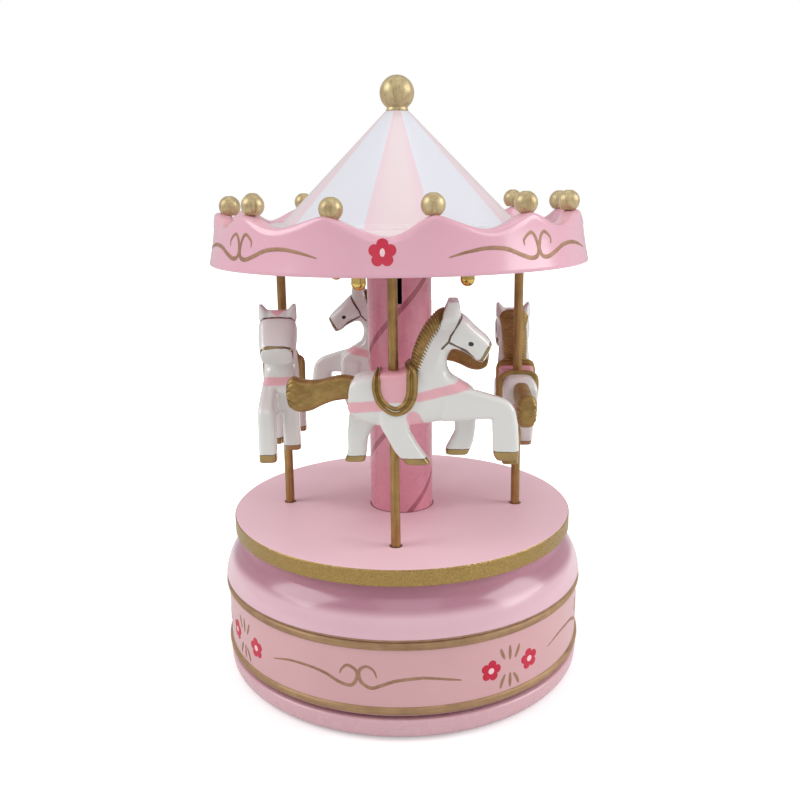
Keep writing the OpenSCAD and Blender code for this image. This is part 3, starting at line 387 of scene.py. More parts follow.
# %% Sprayed coat
paint_skin, given, out = new_group(
    "paint_skin",
    [("Colour", COLOUR, (1, 1, 1, 1)), ("Cloud", FLOAT, 0.1), ("Roughness", FLOAT, 0.3)],
    [("Colour", COLOUR), ("Roughness", FLOAT), ("Height", FLOAT)],
)
spot = add(paint_skin, "ShaderNodeTexCoord").outputs["Object"]
cloud = noise_node(paint_skin, spot, 70.0, 3.0, 0.55)
peel = noise_node(paint_skin, spot, 300.0, 1.0, 0.4)
shift = math_node(paint_skin, "MULTIPLY", math_node(paint_skin, "SUBTRACT", cloud, 0.5), given["Cloud"])
value = math_node(paint_skin, "ADD", shift, 1.0)
paler = math_node(paint_skin, "SUBTRACT", 1.0, shift)
tint = add(paint_skin, "ShaderNodeHueSaturation", Saturation=paler, Value=value, Color=given["Colour"])
rougher = math_node(paint_skin, "MULTIPLY", peel, 0.03)
paint_skin.links.new(tint.outputs[0], out["Colour"])
paint_skin.links.new(math_node(paint_skin, "ADD", given["Roughness"], rougher), out["Roughness"])
paint_skin.links.new(peel, out["Height"])

# %% Brushed coat
brushed_coat, given, out = new_group(
    "brushed_coat",
    [("Vector", VECTOR, (0, 0, 0)), ("Light", COLOUR, (1, 1, 1, 1)), ("Dark", COLOUR, (0, 0, 0, 1)),
     ("Roughness", FLOAT, 0.35)],
    [("Colour", COLOUR), ("Roughness", FLOAT), ("Height", FLOAT)],
)
streak = noise_node(brushed_coat, given["Vector"], 1.0, 5.0, 0.65)
spot = add(brushed_coat, "ShaderNodeTexCoord").outputs["Object"]
patch = noise_node(brushed_coat, spot, 240.0, 4.0, 0.6)
streaks = math_node(brushed_coat, "MULTIPLY", streak, 0.6)
patches = math_node(brushed_coat, "MULTIPLY", patch, 0.4)
both = math_node(brushed_coat, "ADD", streaks, patches)
share = add(brushed_coat, "ShaderNodeMapRange", Value=both, From_Min=0.34, From_Max=0.62).outputs[0]
tint = mix(brushed_coat, share, given["Dark"], given["Light"])
brushed_coat.links.new(tint, out["Colour"])
rougher = math_node(brushed_coat, "MULTIPLY", patch, 0.15)
brushed_coat.links.new(math_node(brushed_coat, "ADD", given["Roughness"], rougher), out["Roughness"])
brushed_coat.links.new(both, out["Height"])

# %% Glitter
sparkle, given, out = new_group(
    "sparkle",
    [("Colour", COLOUR, (1, 1, 1, 1)), ("Grain", FLOAT, 4000.0), ("Tilt", FLOAT, 0.5)],
    [("Colour", COLOUR), ("Normal", VECTOR)],
)
spot = add(sparkle, "ShaderNodeTexCoord").outputs["Object"]
cells = add(sparkle, "ShaderNodeTexVoronoi", Vector=spot, Scale=given["Grain"])
lean = vector_node(sparkle, "SUBTRACT", i0=cells.outputs["Color"], i1=(0.5, 0.5, 0.5))
lean = vector_node(sparkle, "SCALE", Vector=lean, Scale=given["Tilt"])
straight = add(sparkle, "ShaderNodeNewGeometry").outputs["Normal"]
bent = vector_node(sparkle, "NORMALIZE", Vector=vector_node(sparkle, "ADD", i0=straight, i1=lean))
sparkle.links.new(bent, out["Normal"])
flake = add(sparkle, "ShaderNodeSeparateColor", Color=cells.outputs["Color"]).outputs[0]
brighter = math_node(sparkle, "ADD", 0.75, math_node(sparkle, "MULTIPLY", flake, 0.45))
tint = add(sparkle, "ShaderNodeHueSaturation", Value=brighter, Color=given["Colour"])
sparkle.links.new(tint.outputs[0], out["Colour"])
print("groups:", [group.name for group in bpy.data.node_groups])

# %% [markdown]
# Each material below places a group with its own values and feeds a Principled shader.  Values
# that are the same all over, such as the clear coat, are set on the shader's own sockets.
# `lacquer` is sprayed paint and `gilt` is brushed gold: one function for each kind of finish
# takes the place of a dozen hand-made materials.

# %% Helpers for materials
def group_node(tree, group, **inputs):
    """A group placed in a material."""
    made = tree.nodes.new("ShaderNodeGroup")
    made.node_tree = group
    for key, value in inputs.items():
        if isinstance(value, bpy.types.NodeSocket):
            tree.links.new(value, made.inputs[key])
        else:
            made.inputs[key].default_value = value
    return made.outputs


def step(tree, value, low, high):
    """0 below low, 1 above high, and between them 3 x^2 - 2 x^3 with x = (value - low) / (high - low)."""
    smooth = {"interpolation_type": "SMOOTHSTEP"}
    return add(tree, "ShaderNodeMapRange", smooth, Value=value, From_Min=low, From_Max=high).outputs[0]


def band(tree, value, middle, half, soft):
    """1 within half of middle, and 0 beyond soft more."""
    off = math_node(tree, "ABSOLUTE", math_node(tree, "SUBTRACT", value, middle))
    return math_node(tree, "SUBTRACT", 1.0, step(tree, off, half, half + soft))


def finish_with(tree, surface, colour, roughness, height, bump=0.00002, normal=None, **fixed):
    """The Principled shader of a material.  bump is the depth of the relief in metres."""
    shader = add(tree, "ShaderNodeBsdfPrincipled", Base_Color=colour, Roughness=roughness)
    for key, value in fixed.items():
        shader.inputs[key.replace("_", " ")].default_value = value
    if normal is None:
        normal = add(tree, "ShaderNodeBump", Strength=1.0, Distance=bump, Height=height).outputs[0]
    tree.links.new(normal, shader.inputs["Normal"])
    tree.links.new(shader.outputs[0], surface)
    return shader

# %% Lacquer and gold paint
ORANGE_PEEL = 0.000008      # metres from the dimples to the tops of a sprayed coat


def lacquer(name, colour, roughness=0.28, cloud=0.08, coat=0.4, shade=None):
    """Sprayed paint under a clear coat.  shade = (middle, half, soft, colour) is painted shade round it."""
    material, tree, surface = new_material(name)
    if shade is not None:
        colour = mix(tree, band(tree, group_node(tree, places)["Height"], *shade[:3]), colour, shade[3])
    skin = group_node(tree, paint_skin, Colour=colour, Cloud=cloud, Roughness=roughness)
    finish_with(tree, surface, skin["Colour"], skin["Roughness"], skin["Height"], ORANGE_PEEL,
                Coat_Weight=coat, Coat_Roughness=0.12)
    return material


def gilt(name, light, dark, along, roughness=0.34, metallic=0.75, bump=0.00004):
    """Gold paint with brush streaks.  along stretches the streaks: a small number on the axis that they
    follow."""
    material, tree, surface = new_material(name)
    spot = add(tree, "ShaderNodeTexCoord").outputs["Object"]
    grain = add(tree, "ShaderNodeMapping", Vector=spot, Scale=along).outputs[0]
    coat = group_node(tree, brushed_coat, Vector=grain, Light=light, Dark=dark, Roughness=roughness)
    finish_with(tree, surface, coat["Colour"], coat["Roughness"], coat["Height"], bump, Metallic=metallic)
    return material


print("dimples of the sprayed coat:", round(ORANGE_PEEL / MM, 4), "mm")

# %% Paints of this toy
SHADE_Z, SHADE_HALF, SHADE_SOFT = 37.4, 0.8, 2.6      # painted shade high on the shoulder, under the platform's edge, in mm
shade = (SHADE_Z, SHADE_HALF, SHADE_SOFT, srgb(176, 122, 140))
# The shoulder's lacquer carries a band of painted shade where the platform's shadow falls.
shoulder_pink = lacquer("shoulder_pink", srgb(222, 182, 194), 0.2, shade=shade)
waist_pink = lacquer("waist_pink", srgb(214, 166, 169), 0.3)
cover_pink = lacquer("cover_pink", srgb(216, 172, 180), 0.26)
rim_pink = lacquer("rim_pink", srgb(226, 172, 188), 0.24)
ceiling_pink = lacquer("ceiling_pink", srgb(216, 160, 180), 0.3)
line_gold = gilt("line_gold", srgb(176, 142, 104), srgb(140, 108, 76), (60, 60, 900), 0.42, 0.35)
ball_gold = gilt("ball_gold", srgb(210, 194, 148), srgb(160, 134, 94), (1500, 1500, 120), 0.3, 0.45)
pole_gold = gilt("pole_gold", srgb(176, 140, 88), srgb(130, 98, 54), (1400, 1400, 60), 0.32, 0.7)
horse_gold = gilt("horse_gold", srgb(168, 138, 82), srgb(132, 104, 56), (500, 500, 900), 0.34, 0.6)
mirror_gold = gilt("mirror_gold", srgb(236, 206, 130), srgb(206, 168, 84), (300, 300, 300), 0.05, 1.0,
                   bump=0.000004)
flower_red = lacquer("flower_red", srgb(198, 18, 58), 0.45, cloud=0.25, coat=0.0)
flower_pale = lacquer("flower_pale", srgb(244, 206, 210), 0.35)
scroll_gold = gilt("scroll_gold", srgb(172, 134, 108), srgb(142, 104, 80), (500, 500, 500), 0.45, 0.3)
print("materials:", len(bpy.data.materials))

# %% [markdown]
# ## Base shell
# The base is a moulded drum.  Its wall is nearly straight between two gilded beads, and above
# the upper bead it rounds over in a quarter of an ellipse to the mouth below the platform.
# The profile is drawn once, outside and inside, and turned round the axis.  The beads could be
# rings of their own; as stretches of one profile, each with its own finish, they grow out of
# the wall as a moulding does, and the gold stops exactly at their edges.

# %% Base shell
WAIST_R, SHOULDER_TOP_R = 52.7, 40.9
BEADS = (9.1, 27.4)                    # heights of the two beads
BEAD_CENTRE_R, BEAD_R = 52.1, 1.3
GOLD, WAIST, SHOULDER, CREASE = range(4)


def arc(r, z, a, b, start, stop, steps):
    """Part of an ellipse: (r + a cos t, z + b sin t) from start to stop in degrees."""
    t = np.radians(np.linspace(start, stop, steps))
    return np.stack([r + a * np.cos(t), z + b * np.sin(t)], 1)


crease = np.array([(52.72, 28.56), (52.74, 28.66), (52.98, 28.72), (53.16, 28.86), (53.24, 29.1)])
stretches = [
    (SHOULDER, np.array([(50.3, 7.5), (51.9, 7.5), (52.3, 7.56)])),
    (GOLD, arc(BEAD_CENTRE_R, BEADS[0], BEAD_R, BEAD_R, -72, 62, 14)),
    (WAIST, fine(np.array([(52.71, 10.3), (52.7, 10.5), (52.7, 26.0), (52.71, 26.2)]), 1.2, False)),
    (GOLD, arc(BEAD_CENTRE_R, BEADS[1], BEAD_R, BEAD_R, -62, 58, 14)),
    (CREASE, crease),
    (SHOULDER, arc(SHOULDER_TOP_R, BEADS[1], 12.5, 14, 8.5, 88, 40)),
    (SHOULDER, np.array([(40.6, 41.32), (40.2, 41.2), (39.9, 40.9), (39.8, 40.4)])),
    (SHOULDER, np.array([(39.8, 36.0), (39.8, 31.0), (42.2, 31.0), (42.2, 38.6)])),
    (SHOULDER, arc(SHOULDER_TOP_R, BEADS[1], 9.4, 11.4, 80, 0, 20)),
    (SHOULDER, np.array([(50.3, 18.0)])),
]
profile = np.concatenate([line for _, line in stretches])
coats = np.concatenate([np.full(len(line), coat) for coat, line in stretches])
base_shell = piece(
    "base_shell_turned", [sheet(turned(profile, 360), (True, True), coats[:, None])],
    "base", [line_gold, waist_pink, shoulder_pink, scroll_gold], ["base_shell"],
)

# %% [markdown]
# The winding cover closes the bottom.  It is a shallow dish with a soft lower edge, a felt ring
# let into it and a countersunk hole for the arbor screw, and it turns against the shell.  Its
# profile has few corners, each with its own radius, which `rounded` draws at once.  A Bevel
# modifier would give every edge the same radius.

# %% Winding cover
cover = rounded([
    (3.1, 0.3, 0.1), (31.7, 0.3, 0.1), (31.7, 1.0, 0.1), (46.3, 1.0, 0.1), (46.3, 0.3, 0.2),
    (52.6, 0.3, 3.6), (53.2, 6.6, 0.7), (1.2, 6.6, 0.1), (1.2, 2.0, 0.1), (3.1, 2.0, 0.1),
], 12)
dish = sheet(turned(fine(cover, 1.5), 360), (True, True))
winding_cover = piece("winding_cover", [dish], "winder", [cover_pink], ["winding_base"])

# %% [markdown]
# ## Roof
# The roof is one moulding: a rim whose top rises in twelve crests, a gutter behind it and a
# tall cone.  It can't be turned from one profile, because the crests go up and down, so the
# profile's points are lifted by a wave of the azimuth: z = z0 + share * wave(a).  Every trough
# has its own depth and lean, as on a rim that is trimmed by hand.  The outer wall keeps its
# own curve, r(z), at every azimuth, so the wave only trims it.  A Boolean cut would give the
# same crests with a sharp, ragged edge; this way the lip rolls over them.

# %% The wave of the rim
WAVES, WAVE_PHASE = 12, 9.8
WAVE_DEPTHS = np.array([3.5, 3.3, 3.6, 3.4, 3.7, 3.2, 3.5, 3.6, 3.3, 3.4, 2.9, 4.8])
WAVE_LEANS = np.array([0.02, -0.03, 0.04, 0, 0.03, -0.04, 0.02, 0, -0.02, 0.03, -0.03, 0.07])
WAVE_POWER = 0.72                      # below 1 it broadens the troughs
GUTTER_Z, RIM_TOP_Z = 128.6, 134.0
RIM_R, RIM_FLARE, RIM_HIGH = 51.0, 2.0, 13.6
SHARE_FROM_Z, SHARE_OVER = 124.0, 8.0  # where the wall starts to follow the wave, and over what height
AROUND = 480


def wave(azimuth):
    """How far the rim's top stands below its crests.  q = 12 (a - phase) / 360 counts the crests, and
    wave = -depth ((1 - cos(2 pi p)) / 2)^power, with p = q - lean sin(pi q)^2."""
    turn = WAVES * (azimuth - WAVE_PHASE) / 360
    which = np.floor(turn).astype(int) % WAVES
    turn = turn - WAVE_LEANS[which] * np.sin(np.pi * turn) ** 2
    return -WAVE_DEPTHS[which] * ((1 - np.cos(2 * np.pi * turn)) / 2) ** WAVE_POWER


def rim_wall(z):
    """Radius of the rim's outer wall, with a hollow sweep: R + flare ((top - z) / height)^1.6."""
    return RIM_R + RIM_FLARE * np.clip((RIM_TOP_Z - z) / RIM_HIGH, 0, 1) ** 1.6


between = wave(np.array([WAVE_PHASE + 180 / WAVES]))[0]
print("between its first two crests the rim's top drops", round(float(-between), 2), "mm")

# %% Grid of the roof
azimuth = np.arange(AROUND)[None, :] * 360 / AROUND
outer_z = np.array([
    120.55, 121.0, 121.6, 122.4, 123.4, 124.6, 125.8, 127.0, 128.2, 129.3, 130.3, 131.2, 132.0, 132.6,
])
outer_share = np.clip((outer_z - SHARE_FROM_Z) / SHARE_OVER, 0, 1) ** 1.3
outer_z = outer_z[:, None] + outer_share[:, None] * wave(azimuth)
outer = ring(rim_wall(outer_z), azimuth, outer_z)
lip = np.array([(49.2, 121.6), (49.2, 120.3), (49.4, 120.02), (52.2, 120.0), (52.6, 120.04), (52.88, 120.2)])
crest = np.array([
    (50.95, 133.15), (50.75, 133.6), (50.35, 133.88), (49.8, 134.0), (49.0, 134.0), (48.2, 134.0),
    (47.4, 133.97), (46.8, 133.8), (46.35, 133.4), (46.05, 132.8), (45.85, 132.1), (45.6, 131.5),
])
crest_z = np.maximum(crest[:, 1:2] + wave(azimuth), GUTTER_Z + 0.02 * np.arange(12)[::-1, None])
floor = fine(np.array([(45.2, GUTTER_Z), (44.8, GUTTER_Z), (44.6, GUTTER_Z)]), 2.0, False)
cone_side = fine(np.array([
    (44.5, GUTTER_Z), (39.4, GUTTER_Z), (36.8, 130.45), (33.4, 130.75), (32.5, 130.95), (3.42, 160.35),
]), 1.2, False)
under = np.array([
    (3.2, 160.5), (1.6, 160.5), (1.6, 158.2), (3.3, 158.2), (31.65, 129.4), (37.2, 129.4), (38.8, 127.2),
    (45.7, 127.2), (45.7, 121.6),
])
rows = [
    ring(lip[:, :1], azimuth, lip[:, 1:2]),
    outer,
    ring(crest[:, :1], azimuth, crest_z),
    *(ring(line[:, :1], azimuth, line[:, 1:2]) for line in (floor, cone_side, under)),
]
canopy_points = np.concatenate(rows)
start = sum(len(r) for r in rows[:4])
coats = np.zeros(len(canopy_points), int)
coats[start : start + len(cone_side)] = 1
print("roof grid:", canopy_points.shape[:2], "deepest trough:", WAVE_DEPTHS.max(), "mm")

# %% [markdown]
# The cone is white with five pink stripes that narrow towards the top.  Stripes of constant
# turn do that by themselves, so the material asks only for the turn of a point.  Each stripe
# is a little paler in its middle, where the second coat ran thin.

# %% Stripes of the cone
STRIPE_EVERY = 72.0      # degrees


def striped_cone():
    """White lacquer with pink stripes: a stripe is where the turn is less than 15 degrees from the nearest
    multiple of 72 degrees."""
    material, tree, surface = new_material("cone_stripes")
    turn = group_node(tree, places)["Turn"]
    folded = math_node(tree, "PINGPONG", turn, STRIPE_EVERY / 2)
    wide = math_node(tree, "SUBTRACT", 1.0, step(tree, folded, 14.6, 16.0))
    core = math_node(tree, "SUBTRACT", 1.0, step(tree, folded, 5.0, 14.0))
    stripe = mix(tree, core, srgb(230, 205, 213), srgb(230, 212, 215))
    colour = mix(tree, wide, srgb(225, 226, 234), stripe)
    skin = group_node(tree, paint_skin, Colour=colour, Cloud=0.03, Roughness=0.25)
    finish_with(tree, surface, skin["Colour"], skin["Roughness"], skin["Height"], 0.00001,
                Coat_Weight=0.4, Coat_Roughness=0.1)
    return material


cone_stripes = striped_cone()
moulding = sheet(canopy_points, (True, True), coats[:, None])
roof = piece("roof", [moulding], "carousel", [rim_pink, cone_stripes], ["canopy"], 50)

# %% [markdown]
# ## Gilded wooden beads
# Twelve beads stand on the crests and a large one ends the cone.  Each is a turned bead with
# its bore through it, so a small dimple shows at the top and a flat at the foot.  A plain
# sphere would have neither.  The small ones are glued by hand, so each stands a little aside
# of its crest, and some are pressed deeper into it.

# %% Beads
def bead(radius, bore, foot, steps=20):
    """Profile of a bead: (R cos t, R sin t) between the bore at the top and the flat at height -foot."""
    top = 90 - np.degrees(np.arcsin((bore + 0.25) / radius))
    bottom = -np.degrees(np.arcsin(foot / radius))
    body = arc(0, 0, radius, radius, bottom, top, steps)
    peak = body[-1, 1]
    mouth = np.array([(bore + 0.06, peak - 0.03), (bore, peak - 0.18), (bore, peak - 1.2), (0, peak - 1.2)])
    return np.concatenate([[(0, -foot)], [(body[0, 0] - 0.25, -foot)], body, mouth])


RIM_BALL_R, BALL_CIRCLE_R, BALL_Z = 2.9, 47.9, 136.2
# Of each bead: mm below the others, degrees aside of its crest, and mm nearer the axis.
SUNK = np.array([0, 0, 0, 0.3, 0, 0.2, 0, 0.4, 0, 0.6, 0, 0.75])
ASTRAY = np.array([-0.2, 0.5, -0.6, 0.5, 1.2, -0.8, 0.6, -0.4, -1.5, 1.0, 0.9, 1.0])
INWARD = np.array([0, 0.2, 0, 0.3, 0, 0, 0.3, 0, 0.8, 1.2, 0.3, 0])
outline = bead(RIM_BALL_R, 0.45, 2.35)
centres = ring(BALL_CIRCLE_R - INWARD, WAVE_PHASE + np.arange(WAVES) * 30 + ASTRAY, BALL_Z - SUNK)
beads = [sheet(turned(outline, 40) + centre, (False, True)) for centre in centres]
rim_beads = piece("rim_beads", beads, "carousel", [ball_gold], ["rim_balls"])

FINIAL_R, FINIAL_Z = 4.75, 165.3
crown = bead(FINIAL_R, 0.6, 4.3, 32)
neck = rounded([(0, 160.45, 0), (3.2, 160.45, 0.3), (2.6, 162.2, 0.2), (0, 162.2, 0)], 5)
knob_sheets = [
    sheet(turned(crown, 72) + (0, 0, FINIAL_Z), (False, True)),
    sheet(turned(neck, 48), (False, True)),
]
knob = piece("finial_bead", knob_sheets, "carousel", [ball_gold], ["finial"])

# %% [markdown]
# ## Lamp drops
# Four bright drops hang from the ceiling, like the lamps of a real roundabout: a collar, a
# short neck and a bulb, turned in one.  The real ones are pressed and plated, so one closed
# profile with a mirror finish is all that they need.

# %% Lamp drops
DROP_CIRCLE_R, DROP_SHIFT, CEILING_Z, DROP_LEN, DROP_R = 21.7, -27.0, 119.0, 5.6, 2.0
POLE_AZIMUTH = -3.0
bulb = np.concatenate([
    [(0, -DROP_LEN)],
    arc(0, -DROP_LEN + DROP_R, DROP_R, DROP_R, -84, 10, 16),
    smooth_line([(1.95, -3.0), (1.9, -2.0), (1.55, -1.35), (1.2, -1.0), (1.25, -0.6), (1.5, -0.3),
                 (1.5, 0.0)], 24),
    [(0, 0)],
])
hangers = ring(DROP_CIRCLE_R, POLE_AZIMUTH + DROP_SHIFT + np.arange(4) * 90, CEILING_Z)
bulbs = [sheet(turned(bulb, 40) + at, (False, True)) for at in hangers]
drops = piece("lamp_bulbs", bulbs, "carousel", [mirror_gold], ["lamp_drops"])

# %% [markdown]
# ## Brush-painted ornament
# Scrolls, leaves and flowers are thin paint on the wall.  A stroke is drawn flat, as (s, z)
# points where s is the length round the wall, and wrapped on to it: azimuth = centre + s / r.
# Its width swells and tapers as a brush leaves it: w(t) = W sin(pi t)^0.35.  A mask in the
# wall's own material could draw the same lines; a raised stroke also catches the light at its
# edge, as thick paint does, and stays sharp from close by.

# %% Strokes
PAINT_LIFT, PAINT_CROWN = 0.035, 0.03


def stroke_sheet(points, width, centre, wall, steps):
    """A ribbon along the smooth curve: c(t) +- n(t) w(t)/2, wrapped at radius wall(z) + lift, and crowned
    by 1 - (2v)^2 at v across."""
    line = smooth_line(points, steps)
    along = np.gradient(line, axis=0)
    along /= np.linalg.norm(along, axis=1, keepdims=True)
    normal = np.stack([-along[:, 1], along[:, 0]], 1)
    t = np.linspace(0, 1, steps)
    w = width * np.sin(np.pi * np.clip(t, 0.004, 0.996)) ** 0.35
    across = np.linspace(-0.5, 0.5, 5)[None, :, None]
    flat = line[:, None] + normal[:, None] * w[:, None, None] * across
    crown = PAINT_LIFT + PAINT_CROWN * (1 - (2 * across[..., 0]) ** 2)
    r = wall(flat[..., 1])
    top = ring(r + crown, centre + np.degrees(flat[..., 0] / r), flat[..., 1])
    back = ring(r - 0.02, centre + np.degrees(flat[..., 0] / r), flat[..., 1])
    return sheet(np.concatenate([top, back[:, ::-1]], 1), (False, True))


tried = stroke_sheet([(0, 126), (5, 127)], 1.0, 0.0, rim_wall, 24)
print("a stroke of 24 steps on the rim has", len(tried[1]), "quads")

# %% Petals
def petal_sheet(s, z, radius, centre, wall, petals=5, turn=90.0, lift=0.04, squash=1.0):
    """A flower head: r(a) = R (0.66 + 0.34 |cos(n (a - turn) / 2)|^0.6), filled from its middle.  Without
    petals it is a plain oval."""
    a = np.arange(90) * 4.0
    lobes = 0.66 + 0.34 * np.abs(np.cos(np.radians(petals * (a - turn) / 2))) ** 0.6
    reach = radius * (lobes if petals else np.ones(90))
    k = np.array([0, 0.3, 0.6, 0.85, 1.0, 1.0])[:, None]
    flat_s, flat_z = s + squash * k * reach * np.cos(np.radians(a)), z + k * reach * np.sin(np.radians(a))
    off = np.array([lift + 0.04, lift + 0.04, lift + 0.035, lift + 0.02, lift - 0.01, -0.03])[:, None]
    r = wall(flat_z)
    face = ring(r + off, centre + np.degrees(flat_s / r), flat_z)
    back = ring(wall(np.array(z)) - 0.03, centre + np.degrees(s / r[:1]), np.full((1, 90), z))
    return sheet(np.concatenate([face, back]), (False, True))


print("a flower on the rim has", len(petal_sheet(0, 126, 3.0, 0.0, rim_wall)[1]), "quads")

# %% Where the waist is painted
def waist_wall(z):
    """The base wall between its beads, where the radius is the same at every height."""
    return np.full(np.shape(z), WAIST_R)


def ornament(name, body, *layers):
    """One piece from layers of strokes, flowers and flower hearts, each with its own paint."""
    sheets = [(p, q, np.full(len(q), k)) for k, layer in enumerate(layers) for p, q, _ in layer]
    return piece(name, sheets, body, [scroll_gold, flower_red, flower_pale])


print("radius of the painted waist:", float(waist_wall(0.0)), "mm")

# %% Ornament of the waist
SCROLL_LEFT = [
    (-26.5, 17.2), (-20.4, 18.7), (-14.2, 18.9), (-9.3, 18.1), (-6.0, 16.6), (-3.5, 15.8), (-1.6, 16.0),
    (-0.3, 18.1), (-0.5, 20.1), (-2.7, 21.4), (-4.3, 20.2), (-5.0, 18.7),
]
SCROLL_RIGHT = [
    (27.0, 16.6), (24.4, 17.2), (18.3, 18.3), (15.3, 18.4), (10.0, 17.8), (6.4, 16.5), (3.4, 15.5),
    (0.9, 16.9), (0.2, 19.2), (0.7, 20.7), (2.3, 21.5), (4.1, 20.5), (4.9, 18.4),
]
LEAVES = [
    [(-3.1, 22.9), (-2.5, 21.2), (-1.7, 19.6)],
    [(-0.1, 23.1), (0, 21), (0, 19.0)],
    [(3.2, 22.6), (2.6, 20.9), (1.7, 19.1)],
    [(-3.1, 11.4), (-2.5, 13.2), (-1.6, 15.1)],
    [(0.1, 11.1), (0.1, 13), (0.1, 15.2)],
    [(3.1, 11.2), (2.4, 13), (1.2, 14.8)],
]
BRUSH, SCROLL_TURN, FLOWER_TURN = 0.95, -13.0, 32.0      # mm wide, and azimuths in degrees
scrolls, reds, pales = [], [], []
for quarter in range(4):
    middle = SCROLL_TURN + 90 * quarter
    scrolls += [stroke_sheet(line, BRUSH, middle, waist_wall, 110) for line in (SCROLL_LEFT, SCROLL_RIGHT)]
    middle = FLOWER_TURN + 90 * quarter
    scrolls += [stroke_sheet(line, BRUSH, middle, waist_wall, 24) for line in LEAVES]
    for s, z in ((-6.0, 17.3), (6.9, 17.0)):
        reds.append(petal_sheet(s, z, 3.0, middle, waist_wall, turn=80 + 20 * (s > 0)))
        pales.append(petal_sheet(s, z, 0.85, middle, waist_wall, 0, lift=0.1))
painted = ornament("waist_ornament", "base", scrolls, reds, pales)

# %% [markdown]
# The rim has the same hand: one scroll, drawn once and mirrored, on each side of a quarter's
# middle, and one flower between two pairs.  They wrap on to `rim_wall`, so they follow its
# hollow sweep.

# %% Ornament of the rim
RIM_SCROLL = [
    (4.8, 126.4), (4.7, 127.9), (2.5, 129.4), (1.0, 128.3), (0.2, 125.6), (0.9, 123.8), (3.0, 123.4),
    (6.1, 124.3), (9.8, 125.7), (13.2, 126.2), (16.2, 126.2), (19.1, 125.8), (21.8, 125.3), (25.4, 124.4),
]
RIM_BRUSH, RIM_SCROLL_TURN, RIM_FLOWER_TURN = 1.05, -49.4, -4.2
scrolls, reds, pales = [], [], []
for quarter in range(4):
    middle = RIM_SCROLL_TURN + 90 * quarter
    for side in (1, -1):
        line = np.array(RIM_SCROLL) * (side, 1)
        scrolls.append(stroke_sheet(line, RIM_BRUSH, middle, rim_wall, 130))
    middle = RIM_FLOWER_TURN + 90 * quarter
    reds.append(petal_sheet(0, 125.7, 3.3, middle, rim_wall))
    pales.append(petal_sheet(0, 125.8, 0.95, middle, rim_wall, 0, lift=0.1, squash=0.62))
painted = ornament("rim_ornament", "carousel", scrolls, reds, pales)

# %% [markdown]
# ## Horses
# All four horses come from one carving.  It is drawn from its near side in the horse's own
# frame: u forward, y across with the near side negative, and h up from the saddle at the pole.
# A limb or the trunk is a loft between its upper and its lower outline, nearly as flat as the
# board that it is cut from, and the lofts are then fused into one skin with softened edges.
# Sculpting could do this too, but outlines can be measured and corrected point by point.

# %% Lofts
def round_off(v, power):
    """sign(v) |v|^(2 / power): the side of a superellipse."""
    return np.sign(v) * np.abs(v) ** (2 / power)


def shut(skin):
    """The same rows with the middle of the first and the last added, so that both ends close."""
    ends = [np.broadcast_to(skin[k].mean(0), (1, *skin.shape[1:])) for k in (0, -1)]
    return sheet(np.concatenate([ends[0], skin, ends[1]]), (False, True))


def loft(upper, lower, half, middle=0.0, power=4.0, grooves=None, steps=48, around=48):
    """Between two outlines (u, h): their middle + reach * round(cos), and half * round(sin) across.
    grooves(t, v) thins it at v, from -1 at the lower outline to 1 at the upper one."""
    a, b = smooth_line(upper, steps), smooth_line(lower, steps)
    t = np.linspace(0, 1, steps)[:, None]
    turn = np.arange(around)[None, :] * 2 * np.pi / around
    v = round_off(np.cos(turn), power)
    flat = ((a + b) / 2)[:, None] + v[..., None] * ((a - b) / 2)[:, None]
    wide = np.interp(t, np.linspace(0, 1, len(half)), half) * (1 if grooves is None else 1 - grooves(t, v))
    return shut(np.stack([flat[..., 0], middle + wide * round_off(np.sin(turn), power), flat[..., 1]], -1))


def stack(levels, steps=14, around=28):
    """A horn of ellipses: (u + a cos, y + b sin, h) through levels (u, y, h, a, b)."""
    level = smooth_line(levels, steps)[:, None]
    turn = np.arange(around)[None, :] * 2 * np.pi / around
    u = level[..., 0] + level[..., 3] * np.cos(turn)
    y = level[..., 1] + level[..., 4] * np.sin(turn)
    return shut(np.stack([u, y, np.broadcast_to(level[..., 2], (steps, around))], -1))


tried = loft([(0, 1), (4, 1)], [(0, -1), (4, -1)], [1])
print("a loft between two straight lines:", len(tried[1]), "quads")

# %% One skin from many lofts
def fused(sheets, grain, rounds):
    """One skin from overlapping solids: voxels as big as the grain in mm, skinned again and smoothed some
    rounds."""
    mesh = mesh_from("rough", sheets)
    rough = link("rough", mesh)
    voxels = rough.modifiers.new("voxels", "REMESH")
    voxels.mode = "VOXEL"
    voxels.voxel_size = grain * MM
    soften = rough.modifiers.new("soften", "SMOOTH")
    soften.factor = 0.5
    soften.iterations = rounds
    made = bpy.data.meshes.new_from_object(rough.evaluated_get(bpy.context.evaluated_depsgraph_get()))
    bpy.data.objects.remove(rough)
    bpy.data.meshes.remove(mesh)
    print("one skin from", len(sheets), "lofts:", len(made.polygons), "faces")
    return made

# %% [markdown]
# ### Carving
# The trunk, the neck and the head are full, and the legs are boards on either side, so a near
# leg and a far leg show a slot between them.  Each pair of outlines below runs from the rear
# to the front, or from the top of a leg to its hoof.  The ears and the poll between them are
# horns of ellipses.

